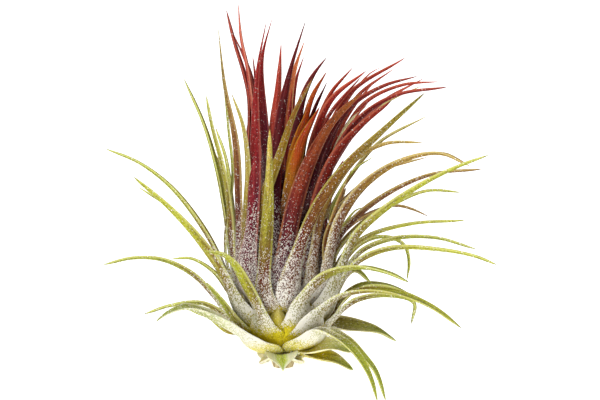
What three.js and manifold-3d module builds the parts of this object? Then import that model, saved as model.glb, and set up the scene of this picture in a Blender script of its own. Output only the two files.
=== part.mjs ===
// A loose sky plant of the rubra kind: a rosette of channelled leaves on a short hidden stem.
// It lies free on a surface, on the flat end of its stem and on the tips of its drooping leaves.
// Millimetres, +Z up, front towards -Y. The origin is the middle of the stem's flat end.

import * as THREE from 'three';
import { mergeVertices } from 'three/addons/utils/BufferGeometryUtils.js';
import Module from 'manifold-3d';

const wasm = await Module();
wasm.setup();

const radians = THREE.MathUtils.degToRad;
const mix = THREE.MathUtils.lerp;
const ease = THREE.MathUtils.smoothstep;

// Driving dimensions, in millimetres
const STEM_LENGTH = 19;
const STEM_FOOT_RADIUS = 2.6;
const STEM_RADIUS = 4.2;
const STEM_WIDEST = 4.5;
const STEM_TOP_RADIUS = 1.8;
const STEM_LEAN = radians(16);
const FIRST_ROOT = 3;
const LAST_ROOT = 16;
const LEAF_THICKNESS = 0.72;
const LEAF_GAP = 0.3;
const SHEATH_WIDTH_OUTER = 11.5;
const SHEATH_WIDTH_INNER = 6.5;
const TIP_WIDTH = 0.7;
const HEART_RADIUS = 6;
const HEART_BOTTOM = 20;
const HEART_TOP = 52;
const HEART_SHIFT = 1.5;
const HEART_HIGHEST_ROOT = 36;
const HEART_ROOT_DROP = 9;
const HEART_ROOT_SHARE = 0.4;

// How a leaf changes along its length: places as shares of the length, sizes as shares of its width
const ROOT_SHARE = 0.12;
const ROOT_PINCH = 0.7;
const SHEATH_FROM = 0.1;
const SHEATH_SHARE = 0.36;
const TAPER_FROM = 0.45;
const TAPER_LEFT = 0.3;
const CHANNEL_FROM = 0.15;
const CHANNEL_FULL = 0.5;
const SHEATH_CHANNEL = 0.14;
const BLADE_CHANNEL = 0.3;
const CHANNEL_BALANCE = 0.5;
const ROLL_FROM = 0.12;
const ROLL_FULL = 0.42;
const THICKEST_SHARE = 0.8;

// How far a sheath bellies out between its root and its shoulder, as a share of that way
const OUTER_BELLY = 0.12;
const INNER_BELLY = 0.2;

// How the blades are bent clear of each other
const DENSE_STEPS = 30;
const FIXED_TO = 0.1;
const FREE_FROM = 0.34;
const CROWDING = 0.3;
const NUDGE_SPREAD = 5;
const CLEAR_ROUNDS = 10;

// How much more than the leaf gap a leaf clears at its thin edges and across its thickness
const EDGE_CLEARANCE = 3.2;
const FACE_CLEARANCE = 2.2;
const TIP_CLEARANCE = 2;

// Facets: the stem's sides, the heart's core, and the least edge before and after leaves are trimmed
const STEM_SIDES = 14;
const CORE_SIDES = 12;
const CORE_BANDS = 7;
const SAME_PLACE = 0.0001;
const LEAST_EDGE = 0.004;

// The leaf points below are as seen from the front and this much above the surface
const VIEW_LIFT = radians(12);

// Each leaf row: facing in degrees (0 front, 90 right, 180 back), blade width, then its points from
// shoulder to tip, each [across, up, back] from the stem's flat end.

const LOW_LEAVES = [
  [0, 8.5, [-0.4, 3.6, -6.5], [-0.2, 1.6, -9], [0, -1, -11.5]],
  [130, 5.6, [10, 11, 10], [16.1, 10.5, 14], [20.8, 9.9, 18], [25.2, 8.8, 22.5], [29.9, 6, 27.2]],
  [-42, 7.4, [-9.8, 8, -11], [-16.2, 12.3, -15],
    [-24.6, 15.6, -20], [-29.5, 14.2, -22], [-32.8, 11.8, -23]],
  [75, 4.8, [8.5, 3, -3], [13.5, 1.9, -4.5], [18.2, -0.9, -5]],
  [195, 3.2, [-4.5, 11, 13], [-6.5, 13.6, 21], [-8.2, 12, 28], [-9, 7.5, 34.2]],
  [35, 3.2, [9.6, 9.4, -14], [15.2, 7, -21], [19.3, 3.2, -28], [22.4, -2.2, -35], [24.2, -8.3, -40]],
  [-80, 3.0, [-13, 11.8, -4.5], [-20.8, 16.6, -6], [-29.2, 16, -8], [-36.2, 13.6, -9]],
  [60, 6.2, [8, 5, -7], [13, 5.6, -8.5], [17.6, 3.8, -9.5]],
  [165, 3.2, [4, 11, 13], [6, 14, 22], [7.4, 12.6, 30], [8, 7.9, 36.6]],
  [48, 2.9, [11, 10, -11], [15.8, 7.9, -17], [20, 3.8, -24], [23.8, -0.8, -31], [26.3, -8.1, -39]],
];

const OUTER_LEAVES = [
  [40, 3.6, [8, 12.4, -12], [15, 18.6, -16], [26, 20, -20], [37.8, 16, -25], [46, 10.2, -28]],
  [180, 3.2, [0, 18, 17], [0, 25, 27], [0, 28, 37], [0, 27, 47]],
  [-30, 3.6, [-6, 14, -13], [-9.2, 20.5, -17],
    [-12.6, 26.6, -20], [-15.8, 29.4, -24], [-20.3, 30.2, -29]],
  [80, 3.6, [12.2, 11.6, -4], [18.5, 17.2, -6], [27, 18.7, -8], [34, 16.6, -10], [33.2, 11, -11]],
  [-128, 2.8, [-10.5, 16, 13], [-14, 21, 20], [-15.4, 22.5, 27], [-15.4, 21.5, 34]],
  [25, 3.6, [4.8, 16.5, -13], [11, 23.6, -17.5], [19, 26, -23], [27, 24.6, -29], [32.4, 22.1, -33]],
  [-88, 3.6, [-13.4, 12, 1], [-17.6, 18, 0], [-23, 23.8, -1],
    [-31, 27.8, -2.5], [-39, 28.3, -4], [-46.8, 26.4, -6]],
  [100, 3.4, [15.2, 17, 5], [20.5, 20.9, 6.5], [27, 21, 8], [33.4, 18.6, 9]],
  [-68, 3.8, [-12.4, 12.3, -5.5], [-16.4, 17.8, -7.5], [-19.8, 21.9, -9.5]],
  [86, 3.8, [13.4, 19.4, -2], [18.4, 25, -4], [22.8, 21.8, -6]],
];

const MIDDLE_LEAVES = [
  [75, 3.6, [14.5, 20.8, -5], [19.2, 27.2, -7], [28, 30.9, -9.5],
    [41, 30.5, -13], [50, 28.7, -16], [55.4, 26.4, -18]],
  [-46, 3.6, [-11.8, 16, -7.5], [-15.4, 23.6, -9.5],
    [-22.2, 33.4, -11.5], [-30, 41.8, -13.5], [-38.7, 49.3, -15]],
  [155, 2.8, [6, 21, 16], [9.4, 29, 25], [11.6, 34.6, 33], [13.5, 37.5, 42]],
  [90, 3.3, [15, 23, 1], [20.2, 30, 1.5], [28.9, 33.4, 1], [40, 33.5, 0], [50.4, 30.4, -2]],
  [-98, 3.2, [-13.5, 20, 6.5], [-16.2, 27.5, 8], [-21.6, 37.2, 9],
    [-29.4, 46.9, 9.5], [-38, 53.3, 9], [-46.6, 56.7, 8]],
  [52, 3.4, [15, 25, -7], [18.6, 33.4, -9.5], [24.7, 39.6, -11.5],
    [36, 47.4, -14.5], [46, 52.3, -17], [53.3, 54.9, -19]],
  [205, 2.8, [-5.5, 21, 16], [-8.6, 29.4, 25], [-10.8, 34, 33], [-12, 36.4, 42]],
  [108, 2.8, [14.5, 25, 8], [20, 31.8, 10.5], [26.4, 33.8, 12.5],
    [31.6, 31.6, 13.5], [33, 27, 14], [32.3, 21.9, 13.5]],
  [-83, 2.2, [-14.6, 22, -1], [-21, 32.6, -2], [-28, 40.4, -3], [-37.7, 46.7, -4]],
  [73, 3.3, [12, 28, -4.5], [15.8, 35.4, -5.5], [25.2, 43.8, -5], [38.2, 49.9, -5], [52, 51.3, -6]],
  [184, 3.4, [-0.6, 23, 17], [-1.4, 34, 24], [-1.8, 44, 32], [-2.4, 51, 41]],
  [-105, 2.4, [-14, 19, 8.5], [-18, 24.4, 12], [-24, 28, 14.5], [-29.4, 27.8, 16.5]],
  [96, 3.0, [14.6, 27.5, 4.5], [21.4, 33.6, 6], [33, 37.1, 7.5], [47.9, 38, 8.5]],
  [60, 4.4, [12, 28, -9], [14.6, 37.6, -10], [20.6, 46.6, -9.5],
    [30.4, 53.3, -8.5], [40.8, 55.4, -8], [48.6, 51.9, -7]],
  [-138, 2.8, [-10, 25, 14], [-13, 36, 20], [-15.4, 47, 26], [-17.6, 55, 32]],
  [112, 2.8, [13.6, 29, 11], [20, 36.6, 14], [29, 42.3, 17], [38, 45.8, 19], [47, 45.2, 21]],
  [-165, 3.2, [-5, 24, 15.6], [-7, 37, 21], [-8.6, 48, 27], [-9.4, 57, 34]],
  [140, 3.2, [8.4, 24, 14], [11.6, 33, 19.4], [14.4, 41, 26], [16.6, 46.6, 34]],
  [122, 2.2, [11.6, 29, 14], [18, 37, 18], [28.8, 41.8, 22], [33.6, 41, 24], [38.4, 38.8, 26]],
];

const UPRIGHT_LEAVES = [
  [18, 3.3, [1.6, 20, -13.6], [4.4, 31, -15], [9.3, 42, -15],
    [16.8, 52.3, -13.5], [26.4, 61.6, -12], [37, 71.2, -11]],
  [-14, 3.6, [-5, 18, -13], [-4.6, 30, -15.5], [-3.8, 43, -15.5], [-3.5, 54, -17.5], [-3.4, 61.6, -22]],
  [4, 4.6, [-0.6, 20, -11.4], [0.9, 31, -12.8], [3.2, 42.5, -12],
    [7.2, 53.8, -9.5], [12.8, 63.6, -6], [20.5, 71.2, -3]],
  [-26, 3.6, [-9.2, 24, -10.6], [-8, 38, -9.6], [-7.4, 54, -6],
    [-7.2, 70, 0], [-6.4, 79, 4], [-4.3, 90.2, 8]],
  [-58, 3.0, [-11, 26, -6.5], [-11.6, 41, -5], [-12.4, 58, -1], [-15.2, 73, 3], [-17, 88.6, 8]],
  [-44, 2.6, [-10, 28, -8.8], [-9.6, 41, -8.4], [-9.2, 52, -8], [-10.4, 62.5, -8.5], [-13.4, 71, -10]],
  [45, 3.2, [8, 28, -10.4], [10.6, 41, -10.6], [14.6, 48.6, -10.4],
    [20, 54.7, -9.8], [27.5, 58.1, -9.2], [36.4, 58.1, -9]],
  [-80, 3.4, [-12.8, 28, -1.5], [-14, 42, 0.5], [-15.7, 52, 1.5], [-18.3, 62, 1.5], [-20, 70.6, 1]],
  [-112, 2.6, [-13.4, 28, 8], [-15.2, 41, 11], [-17.4, 52, 14], [-20.9, 63.6, 17], [-26.2, 75.4, 20]],
  [-5, 3.0, [-6.8, 31, -9.8], [-5.4, 42, -9.6], [-1, 54.5, -7.6], [3, 66, -5], [7.8, 75.1, -2.5]],
  [42, 4.4, [7.4, 32, -8], [9.4, 43.4, -7.6], [13.7, 54.6, -5.8], [20.6, 62.8, -4], [28.2, 69, -2]],
  [60, 3.2, [9.8, 34, -3.6], [11.2, 48, -2.8], [18.2, 62.6, -1.8], [29, 70.4, -0.6], [43.3, 72.7, 0.6]],
  [6, 3.4, [-2.4, 35, -7.6], [-2, 49, -5.6], [-0.6, 65, -1.6], [2, 77.4, 3], [6, 90.4, 8]],
  [-115, 3.2, [-9.3, 30, 9], [-8.9, 52, 11.5], [-8.8, 69.6, 14.5],
    [-10.4, 77, 16], [-12.4, 83.4, 17.5], [-15, 93.4, 20]],
  [-95, 3.0, [-12.2, 30, 4.5], [-13.2, 42, 6], [-14.8, 54, 7.5], [-17.7, 62.4, 8.5]],
  [170, 3.0, [1, 27, 17], [0.6, 40, 22], [0.4, 52, 28], [0.4, 62, 36]],
  [145, 3.0, [8, 27, 14.6], [11, 39, 20], [13.2, 48, 27], [16, 54, 34]],
  [215, 3.0, [-6.5, 30, 15], [-8, 44, 19.6], [-9, 55, 25], [-9.6, 63, 31]],
  [165, 2.8, [2.4, 33, 15], [2.4, 47, 19.6], [2, 60, 25], [2, 71, 31]],
];

// The heart's leaves are thin and crowded, and grow together at their roots
const HEART_LEAVES = [
  [18, 3.8, [5.2, 42, -8.8], [9, 54.6, -6.6], [15.5, 65.4, -5]],
  [12, 3.8, [1.4, 42, -8.2], [4.6, 57.6, -4.8], [9.6, 67.6, -2]],
  [30, 3.6, [2.8, 42, -5.2], [2.4, 49, -4], [3.4, 57.6, -2.4], [6.4, 67, -0.6]],
  [-120, 2.2, [-5, 44, 8], [-6.6, 62, 13], [-8.5, 76, 19], [-13.3, 87.3, 25]],
  [-100, 2.4, [-4.6, 44, 4], [-7, 61, 8], [-9.2, 77.5, 12.5], [-10.9, 85.5, 15], [-11.8, 95, 17]],
  [-60, 2.2, [-4, 44, 1], [-5.6, 62, 5.5], [-8, 81.2, 10.5]],
  [-20, 2.8, [-3.2, 42, -1.5], [-4.6, 57, 0], [-5.8, 72, 5], [-5.4, 81, 9], [-2.8, 91, 12.5]],
  [-5, 2.8, [-1.6, 44, -0.5], [-2.4, 61, 3], [-1.3, 72.6, 6], [-0.5, 84.4, 10]],
  [175, 2.6, [0.6, 44, 8], [1, 62, 13], [2.7, 76, 17], [5.6, 85, 21]],
  [150, 2.2, [3, 44, 8], [2.2, 62, 16], [3.3, 74, 20], [5.5, 81.2, 23]],
  [40, 2.2, [1.4, 44, 1.6], [1.2, 58, 5], [2.3, 72.8, 8]],
  [30, 3.2, [2.4, 42, -1.8], [2.8, 55, 0.6], [5, 69, 3.6], [7.8, 75.6, 5.6], [11.5, 80.6, 7.6]],
  [48, 3.0, [3.6, 42, -0.6], [4.5, 56, 2], [7.4, 69.4, 5.6], [11.5, 77, 9.5]],
  [70, 2.4, [4.4, 44, 2.4], [5.3, 57, 6], [8.1, 66.8, 9], [11.6, 74.3, 11.5]],
  [75, 3.0, [5, 44, 3.6], [7.4, 57.4, 7.4], [12.2, 70.8, 10.6], [18.3, 78, 13]],
  [60, 3.6, [5.6, 42, -0.4], [7.5, 56.2, 0.4], [12.5, 69.2, 1.4], [21.8, 77, 2.6]],
  [85, 3.4, [6.4, 42, 4.6], [10, 56.4, 8.6], [17.2, 71, 12], [32.3, 80.7, 15]],
  [100, 2.6, [6, 42, 8], [11.4, 56, 12.4], [19.3, 70.4, 16.4], [29.2, 77.8, 19.5]],
  [125, 2.2, [5, 42, 10.4], [11, 56, 17], [18, 68.8, 21], [25.7, 73, 24.5]],
  [72, 3.4, [7.6, 38, 1.2], [10.5, 54, 2.6], [16.8, 66.8, 4.6], [26, 73, 6.6], [35.3, 75.6, 8.4]],
  [92, 3.0, [8, 38, 4.4], [12.2, 52.4, 7], [20.5, 68, 9.6], [30.7, 73.3, 11.6], [41, 74.2, 13]],
  [115, 2.4, [7, 38, 9.6], [14, 54, 14.6], [25, 68.2, 18.6], [37.3, 75.4, 22]],
  [130, 2.2, [6, 38, 12.4], [13.6, 54, 20], [25.6, 68, 25.6], [36.9, 73.5, 29]],
  [95, 2.4, [8.4, 36, 3], [12.4, 54, 5], [16.4, 62.8, 7], [22.1, 68.1, 8.6]],
  [90, 2.4, [9, 36, 1], [17, 49, 1.4], [25, 58.4, 1.6], [37.7, 65.2, 2]],
  [102, 2.4, [9, 36, 5.6], [18, 45.2, 8], [26, 51.2, 9.6], [38, 54.5, 11]],
];

// How far these leaves are rolled about their own line, in degrees
const ROLLS = {
  low_leaf_02: -45,
  low_leaf_03: 25,
  low_leaf_04: -35,
  low_leaf_08: -40,
  outer_leaf_01: -15,
  outer_leaf_08: -20,
  outer_leaf_10: -35,
};

// A place seen from the front and a little above, turned into the plant's own frame
function seen(across, up, back) {
  return new THREE.Vector3(
    across,
    back * Math.cos(VIEW_LIFT) + up * Math.sin(VIEW_LIFT),
    up * Math.cos(VIEW_LIFT) - back * Math.sin(VIEW_LIFT),
  );
}

// The directions along the stem and straight back
const STEM_AXIS = new THREE.Vector3(0, Math.sin(STEM_LEAN), Math.cos(STEM_LEAN));
const BACKWARD = seen(0, 0, 1);

// The way from the stem out to a leaf that faces this many degrees round from the front
function outward(facing) {
  const turn = radians(facing);
  return seen(Math.sin(turn), 0, -Math.cos(turn));
}

// The way across a leaf's blade, level at its root
function acrossBlade(facing) {
  const turn = radians(facing);
  return seen(Math.cos(turn), 0, Math.sin(turn));
}

// A closed solid that can be joined and cut, from a three.js geometry. Corners closer together than the
// least edge become one, and the faces that collapse are dropped.
function solidOf(geometry, leastEdge = SAME_PLACE) {
  const bare = geometry.clone();
  bare.deleteAttribute('normal');
  bare.deleteAttribute('uv');
  const welded = mergeVertices(bare, leastEdge);
  const corners = welded.index.array;
  const faces = [];
  for (let i = 0; i < corners.length; i += 3) {
    const [a, b, c] = corners.slice(i, i + 3);
    if (a !== b && b !== c && c !== a) faces.push(a, b, c);
  }
  return new wasm.Manifold(new wasm.Mesh({
    numProp: 3,
    vertProperties: new Float32Array(welded.attributes.position.array),
    triVerts: new Uint32Array(faces),
  }));
}

// The three.js geometry of a solid
function geometryOf(solid) {
  const { vertProperties, triVerts } = solid.getMesh();
  const geometry = new THREE.BufferGeometry();
  geometry.setAttribute('position', new THREE.BufferAttribute(new Float32Array(vertProperties), 3));
  geometry.setIndex(Array.from(triVerts));
  geometry.computeVertexNormals();
  return geometry;
}

// The stem's radius at a height along it: a narrow foot, widest low down, then a long taper
function stemRadius(height) {
  if (height < STEM_WIDEST) return mix(STEM_FOOT_RADIUS, STEM_RADIUS, height / STEM_WIDEST);
  return mix(STEM_RADIUS, STEM_TOP_RADIUS, (height - STEM_WIDEST) / (STEM_LENGTH - STEM_WIDEST));
}

// The leaning stem, its lower end cut flat and level, fatter by grow all round
function stemGeometry(grow) {
  const profile = [
    new THREE.Vector2(0, -grow),
    new THREE.Vector2(STEM_FOOT_RADIUS + grow, -grow),
    new THREE.Vector2(STEM_RADIUS + grow, STEM_WIDEST),
    new THREE.Vector2(STEM_TOP_RADIUS + grow, STEM_LENGTH + grow),
    new THREE.Vector2(0, STEM_LENGTH + grow),
  ];
  const stem = new THREE.LatheGeometry(profile, STEM_SIDES);
  stem.rotateX(Math.PI / 2);
  const place = stem.attributes.position;
  for (let i = 0; i < place.count; i += 1) {
    const height = Math.max(place.getZ(i), 0);
    place.setY(i, place.getY(i) + height * Math.tan(STEM_LEAN));
  }
  return stem;
}

// A smooth line through a leaf's places
function throughPlaces(places) {
  return new THREE.CatmullRomCurve3(places, false, 'centripetal');
}

// A leaf's middle line: from its root on the stem, out round the bulb, and through its own points
function middleLine(row, rank) {
  const [facing, , ...points] = row;
  const places = points.map((point) => seen(...point));
  const height = mix(FIRST_ROOT, LAST_ROOT, rank);
  const root = STEM_AXIS.clone().multiplyScalar(height);
  root.addScaledVector(outward(facing), stemRadius(height));
  const belly = root.distanceTo(places[0]) * mix(OUTER_BELLY, INNER_BELLY, rank);
  const waist = root.clone().lerp(places[0], 0.5).addScaledVector(outward(facing), belly);
  return throughPlaces([root, waist, ...places]);
}

// A heart leaf's middle line: from inside the heart's core, a share of the way out, and through its points
function heartLine(row) {
  const places = row.slice(2).map((point) => seen(...point));
  const height = Math.min(places[0].z - HEART_ROOT_DROP, HEART_HIGHEST_ROOT);
  const root = STEM_AXIS.clone().multiplyScalar(height);
  root.x += HEART_SHIFT;
  return throughPlaces([root.lerp(places[0], HEART_ROOT_SHARE), ...places]);
}

// Width at share s of the leaf's length: a broad sheath, a slowly narrowing blade, a drawn-out tip
function widthAt(s, blade, sheath) {
  const root = mix(ROOT_PINCH, 1, ease(s, 0, ROOT_SHARE));
  const body = mix(sheath, blade, ease(s, SHEATH_FROM, SHEATH_SHARE));
  const taper = mix(1, TAPER_LEFT, ease(s, TAPER_FROM, 1));
  return Math.max(root * body * taper, TIP_WIDTH);
}

// A leaf's outline at one station, as [place across from -1 to 1, side of the blade], outer side first
function outline(sides) {
  const inner = (sides - 2) / 2;
  const places = Array.from({ length: inner }, (_, i) => mix(-1, 1, (i + 1) / (inner + 1)));
  return [
    [-1, 0],
    ...places.map((place) => [place, 0.5]),
    [1, 0],
    ...places.reverse().map((place) => [place, -0.5]),
  ];
}

// One station's ring of corners, channelled on the leaf's inner side, fatter by grow all round
function stationRing(leaf, k, grow) {
  const { stations, facing, roll, blade, sheath, sides } = leaf;
  const last = stations.length - 1;
  const share = k / last;
  const along = stations[k + 1].clone().sub(stations[Math.max(k - 1, 0)]).normalize();
  const across = acrossBlade(facing);
  const level = across.clone().addScaledVector(along, -across.dot(along)).normalize();
  const side = level.applyAxisAngle(along, -roll * ease(share, ROLL_FROM, ROLL_FULL));
  const out = side.clone().cross(along);
  const ownWidth = widthAt(share, blade, sheath);
  const width = ownWidth + grow * EDGE_CLEARANCE;
  const channel = ownWidth * mix(SHEATH_CHANNEL, BLADE_CHANNEL, ease(share, CHANNEL_FROM, CHANNEL_FULL));
  const thickness = Math.min(LEAF_THICKNESS, width * THICKEST_SHARE) + grow * FACE_CLEARANCE;
  const middle = stations[k].clone().addScaledVector(along, k === 0 ? -grow : 0);
  return outline(sides).map(([place, face]) => {
    const reach = place * width / ownWidth;
    const raised = channel * (CHANNEL_BALANCE - reach * reach) + face * thickness;
    return middle.clone().addScaledVector(side, place * width / 2).addScaledVector(out, raised);
  });
}

// The faces between one ring and the next, from corner number first on
function bandFaces(first, sides) {
  const faces = [];
  for (let i = 0; i < sides; i += 1) {
    const a = first + i;
    const b = first + (i + 1) % sides;
    faces.push(a, b, b + sides, a, b + sides, a + sides);
  }
  return faces;
}

// The faces that close a leaf's root, from one edge across to the other
function rootFaces(sides) {
  const faces = [];
  for (let outer = 0; outer < sides / 2; outer += 1) {
    const inner = (sides - outer) % sides;
    const nextInner = sides - outer - 1;
    if (inner !== outer) faces.push(outer, inner, outer + 1);
    if (nextInner !== outer + 1) faces.push(inner, nextInner, outer + 1);
  }
  return faces;
}

// One leaf as a closed solid, from its root to its pointed tip
function leafGeometry(leaf, grow) {
  const { stations, sides } = leaf;
  const last = stations.length - 1;
  const corners = [];
  const faces = rootFaces(sides);
  for (let k = 0; k < last; k += 1) {
    corners.push(...stationRing(leaf, k, grow));
    if (k < last - 1) faces.push(...bandFaces(k * sides, sides));
  }
  const along = stations[last].clone().sub(stations[last - 1]).normalize();
  corners.push(stations[last].clone().addScaledVector(along, grow * TIP_CLEARANCE));
  const lastRing = (last - 1) * sides;
  for (let i = 0; i < sides; i += 1) {
    faces.push(lastRing + i, lastRing + (i + 1) % sides, last * sides);
  }
  const geometry = new THREE.BufferGeometry();
  geometry.setAttribute('position', new THREE.Float32BufferAttribute(corners.flatMap((c) => c.toArray()), 3));
  geometry.setIndex(faces);
  return geometry;
}

// A leaf ready to be bent clear: its sizes, and its middle line in many small steps
function sketch(name, row, curve, sheathWidth, sides, steps) {
  const [facing, blade] = row;
  const roll = radians(ROLLS[name] ?? 0);
  const sheath = Math.max(sheathWidth, blade);
  return { name, facing, roll, blade, sheath, sides, steps, line: curve.getSpacedPoints(DENSE_STEPS) };
}

// The two steps, past the sheaths, at which two leaves are most crowded, and how much too close they are
function meeting(one, other) {
  const room = (leaf, step) => CROWDING * widthAt(step / DENSE_STEPS, leaf.blade, leaf.sheath);
  let best = { spare: Infinity };
  for (let a = Math.round(DENSE_STEPS * FREE_FROM); a <= DENSE_STEPS; a += 1) {
    for (let b = Math.round(DENSE_STEPS * FREE_FROM); b <= DENSE_STEPS; b += 1) {
      const need = room(one, a) + room(other, b) + LEAF_THICKNESS;
      const spare = one.line[a].distanceTo(other.line[b]) - need;
      if (spare < best.spare) best = { spare, a, b };
    }
  }
  return best;
}

// Moves a leaf back or forward round one step, less and less away from it and not at all at its root
function nudge(leaf, centre, amount) {
  leaf.line.forEach((place, step) => {
    const away = (step - centre) / NUDGE_SPREAD;
    const freedom = ease(step / DENSE_STEPS, FIXED_TO, FREE_FROM);
    place.addScaledVector(BACKWARD, amount * freedom * Math.exp(-away * away));
  });
}

// Where two blades would meet, both give way a little, one forward and one back
function bendClear(leaves) {
  for (let round = 0; round < CLEAR_ROUNDS; round += 1) {
    for (let i = 0; i < leaves.length; i += 1) {
      for (let j = i + 1; j < leaves.length; j += 1) {
        const { spare, a, b } = meeting(leaves[i], leaves[j]);
        if (spare < 0) {
          const depth = leaves[i].line[a].clone().sub(leaves[j].line[b]).dot(BACKWARD);
          const amount = (depth > 0 ? -spare : spare) / 2;
          nudge(leaves[i], a, amount);
          nudge(leaves[j], b, -amount);
        }
      }
    }
  }
}

// A leaf's few stations, picked evenly from its line
function withStations(leaf) {
  const pick = (k) => leaf.line[Math.round(k * DENSE_STEPS / leaf.steps)].clone();
  return { ...leaf, stations: Array.from({ length: leaf.steps + 1 }, (_, k) => pick(k)) };
}

// A hidden core for the heart's leaves: a slim spindle round the line of the stem
function heartCore() {
  const core = new THREE.SphereGeometry(1, CORE_SIDES, CORE_BANDS);
  core.rotateX(Math.PI / 2);
  core.scale(HEART_RADIUS, HEART_RADIUS, (HEART_TOP - HEART_BOTTOM) / 2);
  core.rotateX(-STEM_LEAN);
  const centre = STEM_AXIS.clone().multiplyScalar((HEART_BOTTOM + HEART_TOP) / 2);
  core.translate(centre.x + HEART_SHIFT, centre.y, centre.z);
  return core;
}

// The largest single body of a solid
function mainBody(solid) {
  return solid.decompose().reduce((best, piece) => (piece.volume() > best.volume() ? piece : best));
}

// What is left of a solid when it gives way to the solids already placed
function givingWay(solid, placed) {
  const box = solid.boundingBox();
  const near = placed.filter((other) => {
    const its = other.boundingBox();
    return [0, 1, 2].every((k) => box.min[k] <= its.max[k] && its.min[k] <= box.max[k]);
  });
  return mainBody(near.reduce((left, other) => left.subtract(other), solid));
}

// A mesh with its own material, in the colour that the piece shows from a step away, without slivers
function piece(name, solid, colour) {
  const material = new THREE.MeshStandardMaterial({ color: colour, roughness: 0.75, metalness: 0 });
  const clean = mainBody(solidOf(geometryOf(solid), LEAST_EDGE));
  const mesh = new THREE.Mesh(geometryOf(clean), material);
  mesh.name = name;
  return mesh;
}

// Each zone of separate leaves: its name, rows and colour, then its sides and steps from root to tip
const ZONES = [
  ['low', LOW_LEAVES, 0xaeb070, 8, 10],
  ['outer', OUTER_LEAVES, 0xa4ac68, 6, 11],
  ['middle', MIDDLE_LEAVES, 0x9a9058, 6, 12],
  ['upright', UPRIGHT_LEAVES, 0x8c4038, 6, 12],
];
const HEART_SIDES = 6;
const HEART_STEPS = 6;
const HEART_COLOUR = 0x9a3426;
const STEM_COLOUR = 0x9c8a4a;

function sketchedLeaves() {
  const total = ZONES.reduce((sum, [, rows]) => sum + rows.length, 0);
  const leaves = [];
  for (const [zone, rows, colour, sides, steps] of ZONES) {
    rows.forEach((row, i) => {
      const rank = leaves.length / total;
      const sheath = mix(SHEATH_WIDTH_OUTER, SHEATH_WIDTH_INNER, rank);
      const name = `${zone}_leaf_${String(i + 1).padStart(2, '0')}`;
      leaves.push({ colour, ...sketch(name, row, middleLine(row, rank), sheath, sides, steps) });
    });
  }
  return leaves;
}

const leaves = sketchedLeaves();
const heart = HEART_LEAVES.map(
  (row, i) => sketch(`heart_leaf_${i + 1}`, row, heartLine(row), row[1], HEART_SIDES, HEART_STEPS),
);
bendClear([...leaves, ...heart]);

const plant = new THREE.Group();
plant.name = 'rubra_sky_plant';
plant.add(piece('stem', solidOf(stemGeometry(0)), STEM_COLOUR));

// Each leaf gives way to the stem and to the leaves outside it, keeping the leaf gap
const placed = [solidOf(stemGeometry(LEAF_GAP))];
for (const leaf of leaves.map(withStations)) {
  const solid = givingWay(solidOf(leafGeometry(leaf, 0)), placed);
  plant.add(piece(leaf.name, solid, leaf.colour));
  placed.push(solidOf(leafGeometry(leaf, LEAF_GAP)));
}

const heartSolid = heart.map(withStations).reduce(
  (joined, leaf) => joined.add(solidOf(leafGeometry(leaf, 0))),
  solidOf(heartCore()),
);
plant.add(piece('heart_leaves', givingWay(heartSolid, placed), HEART_COLOUR));

export default plant;
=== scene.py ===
# A loose sky plant of the rubra kind, finished: fine channelled leaves under a silver coat of tiny scales.
# Metres in the scene, millimetres in the sizes below, +Z up, front towards -Y, in the solids' own frame.

import math

import bmesh
import bpy
import numpy as np
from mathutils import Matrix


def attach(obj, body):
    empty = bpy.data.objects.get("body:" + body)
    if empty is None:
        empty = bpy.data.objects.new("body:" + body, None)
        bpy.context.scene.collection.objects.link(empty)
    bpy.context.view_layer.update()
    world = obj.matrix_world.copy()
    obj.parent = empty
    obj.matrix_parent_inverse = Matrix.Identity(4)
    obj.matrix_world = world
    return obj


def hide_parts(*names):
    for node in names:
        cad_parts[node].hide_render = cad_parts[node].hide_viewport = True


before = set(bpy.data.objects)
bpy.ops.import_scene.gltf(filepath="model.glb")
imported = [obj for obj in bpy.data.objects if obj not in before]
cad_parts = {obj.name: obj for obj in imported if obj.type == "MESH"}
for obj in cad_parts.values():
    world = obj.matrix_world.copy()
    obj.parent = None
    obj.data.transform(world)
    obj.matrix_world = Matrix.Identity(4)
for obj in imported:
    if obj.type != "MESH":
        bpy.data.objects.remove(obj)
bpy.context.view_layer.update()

MM = 0.001

# The leaf points and the camera are as seen from the front and this much above the surface
VIEW_LIFT = math.radians(12)


def seen(across, up, back):
    """A place seen from the front and a little above, turned into the plant's own frame."""
    rise, dip = math.cos(VIEW_LIFT), math.sin(VIEW_LIFT)
    return np.array((across, back * rise + up * dip, up * rise - back * dip))


BACKWARD = seen(0, 0, 1)

# Camera: how wide it sees at the plant, and the place at the middle of its frame, in millimetres
VIEW_WIDTH = 156
VIEW_MIDDLE = (4.4, 43.2, 0)
LENS = 500
SENSOR_WIDTH = 36


def link(thing):
    """Shows an object in the scene and gives it back."""
    bpy.context.scene.collection.objects.link(thing)
    return thing


def place_camera():
    lens = bpy.data.cameras.new("camera")
    lens.lens = LENS
    lens.sensor_width = SENSOR_WIDTH
    lens.sensor_fit = "HORIZONTAL"
    camera = link(bpy.data.objects.new("camera", lens))
    distance = VIEW_WIDTH * LENS / SENSOR_WIDTH
    camera.location = (seen(*VIEW_MIDDLE) - BACKWARD * distance) * MM
    camera.rotation_euler = (math.pi / 2 - VIEW_LIFT, 0, 0)
    bpy.context.scene.camera = camera


place_camera()


# Light and floor, round the middle of the plant, in metres
PLANT_MIDDLE = np.array((0.004, 0.008, 0.045))
FLOOR_HALF = 6
FLOOR_GREY = (0.8, 0.8, 0.8, 1)
FLOOR_ROUGHNESS = 0.9
FLOOR_GLOW = 0.86
SKY_GLOW = 0.2
WHITE = (1, 1, 1, 1)

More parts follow.
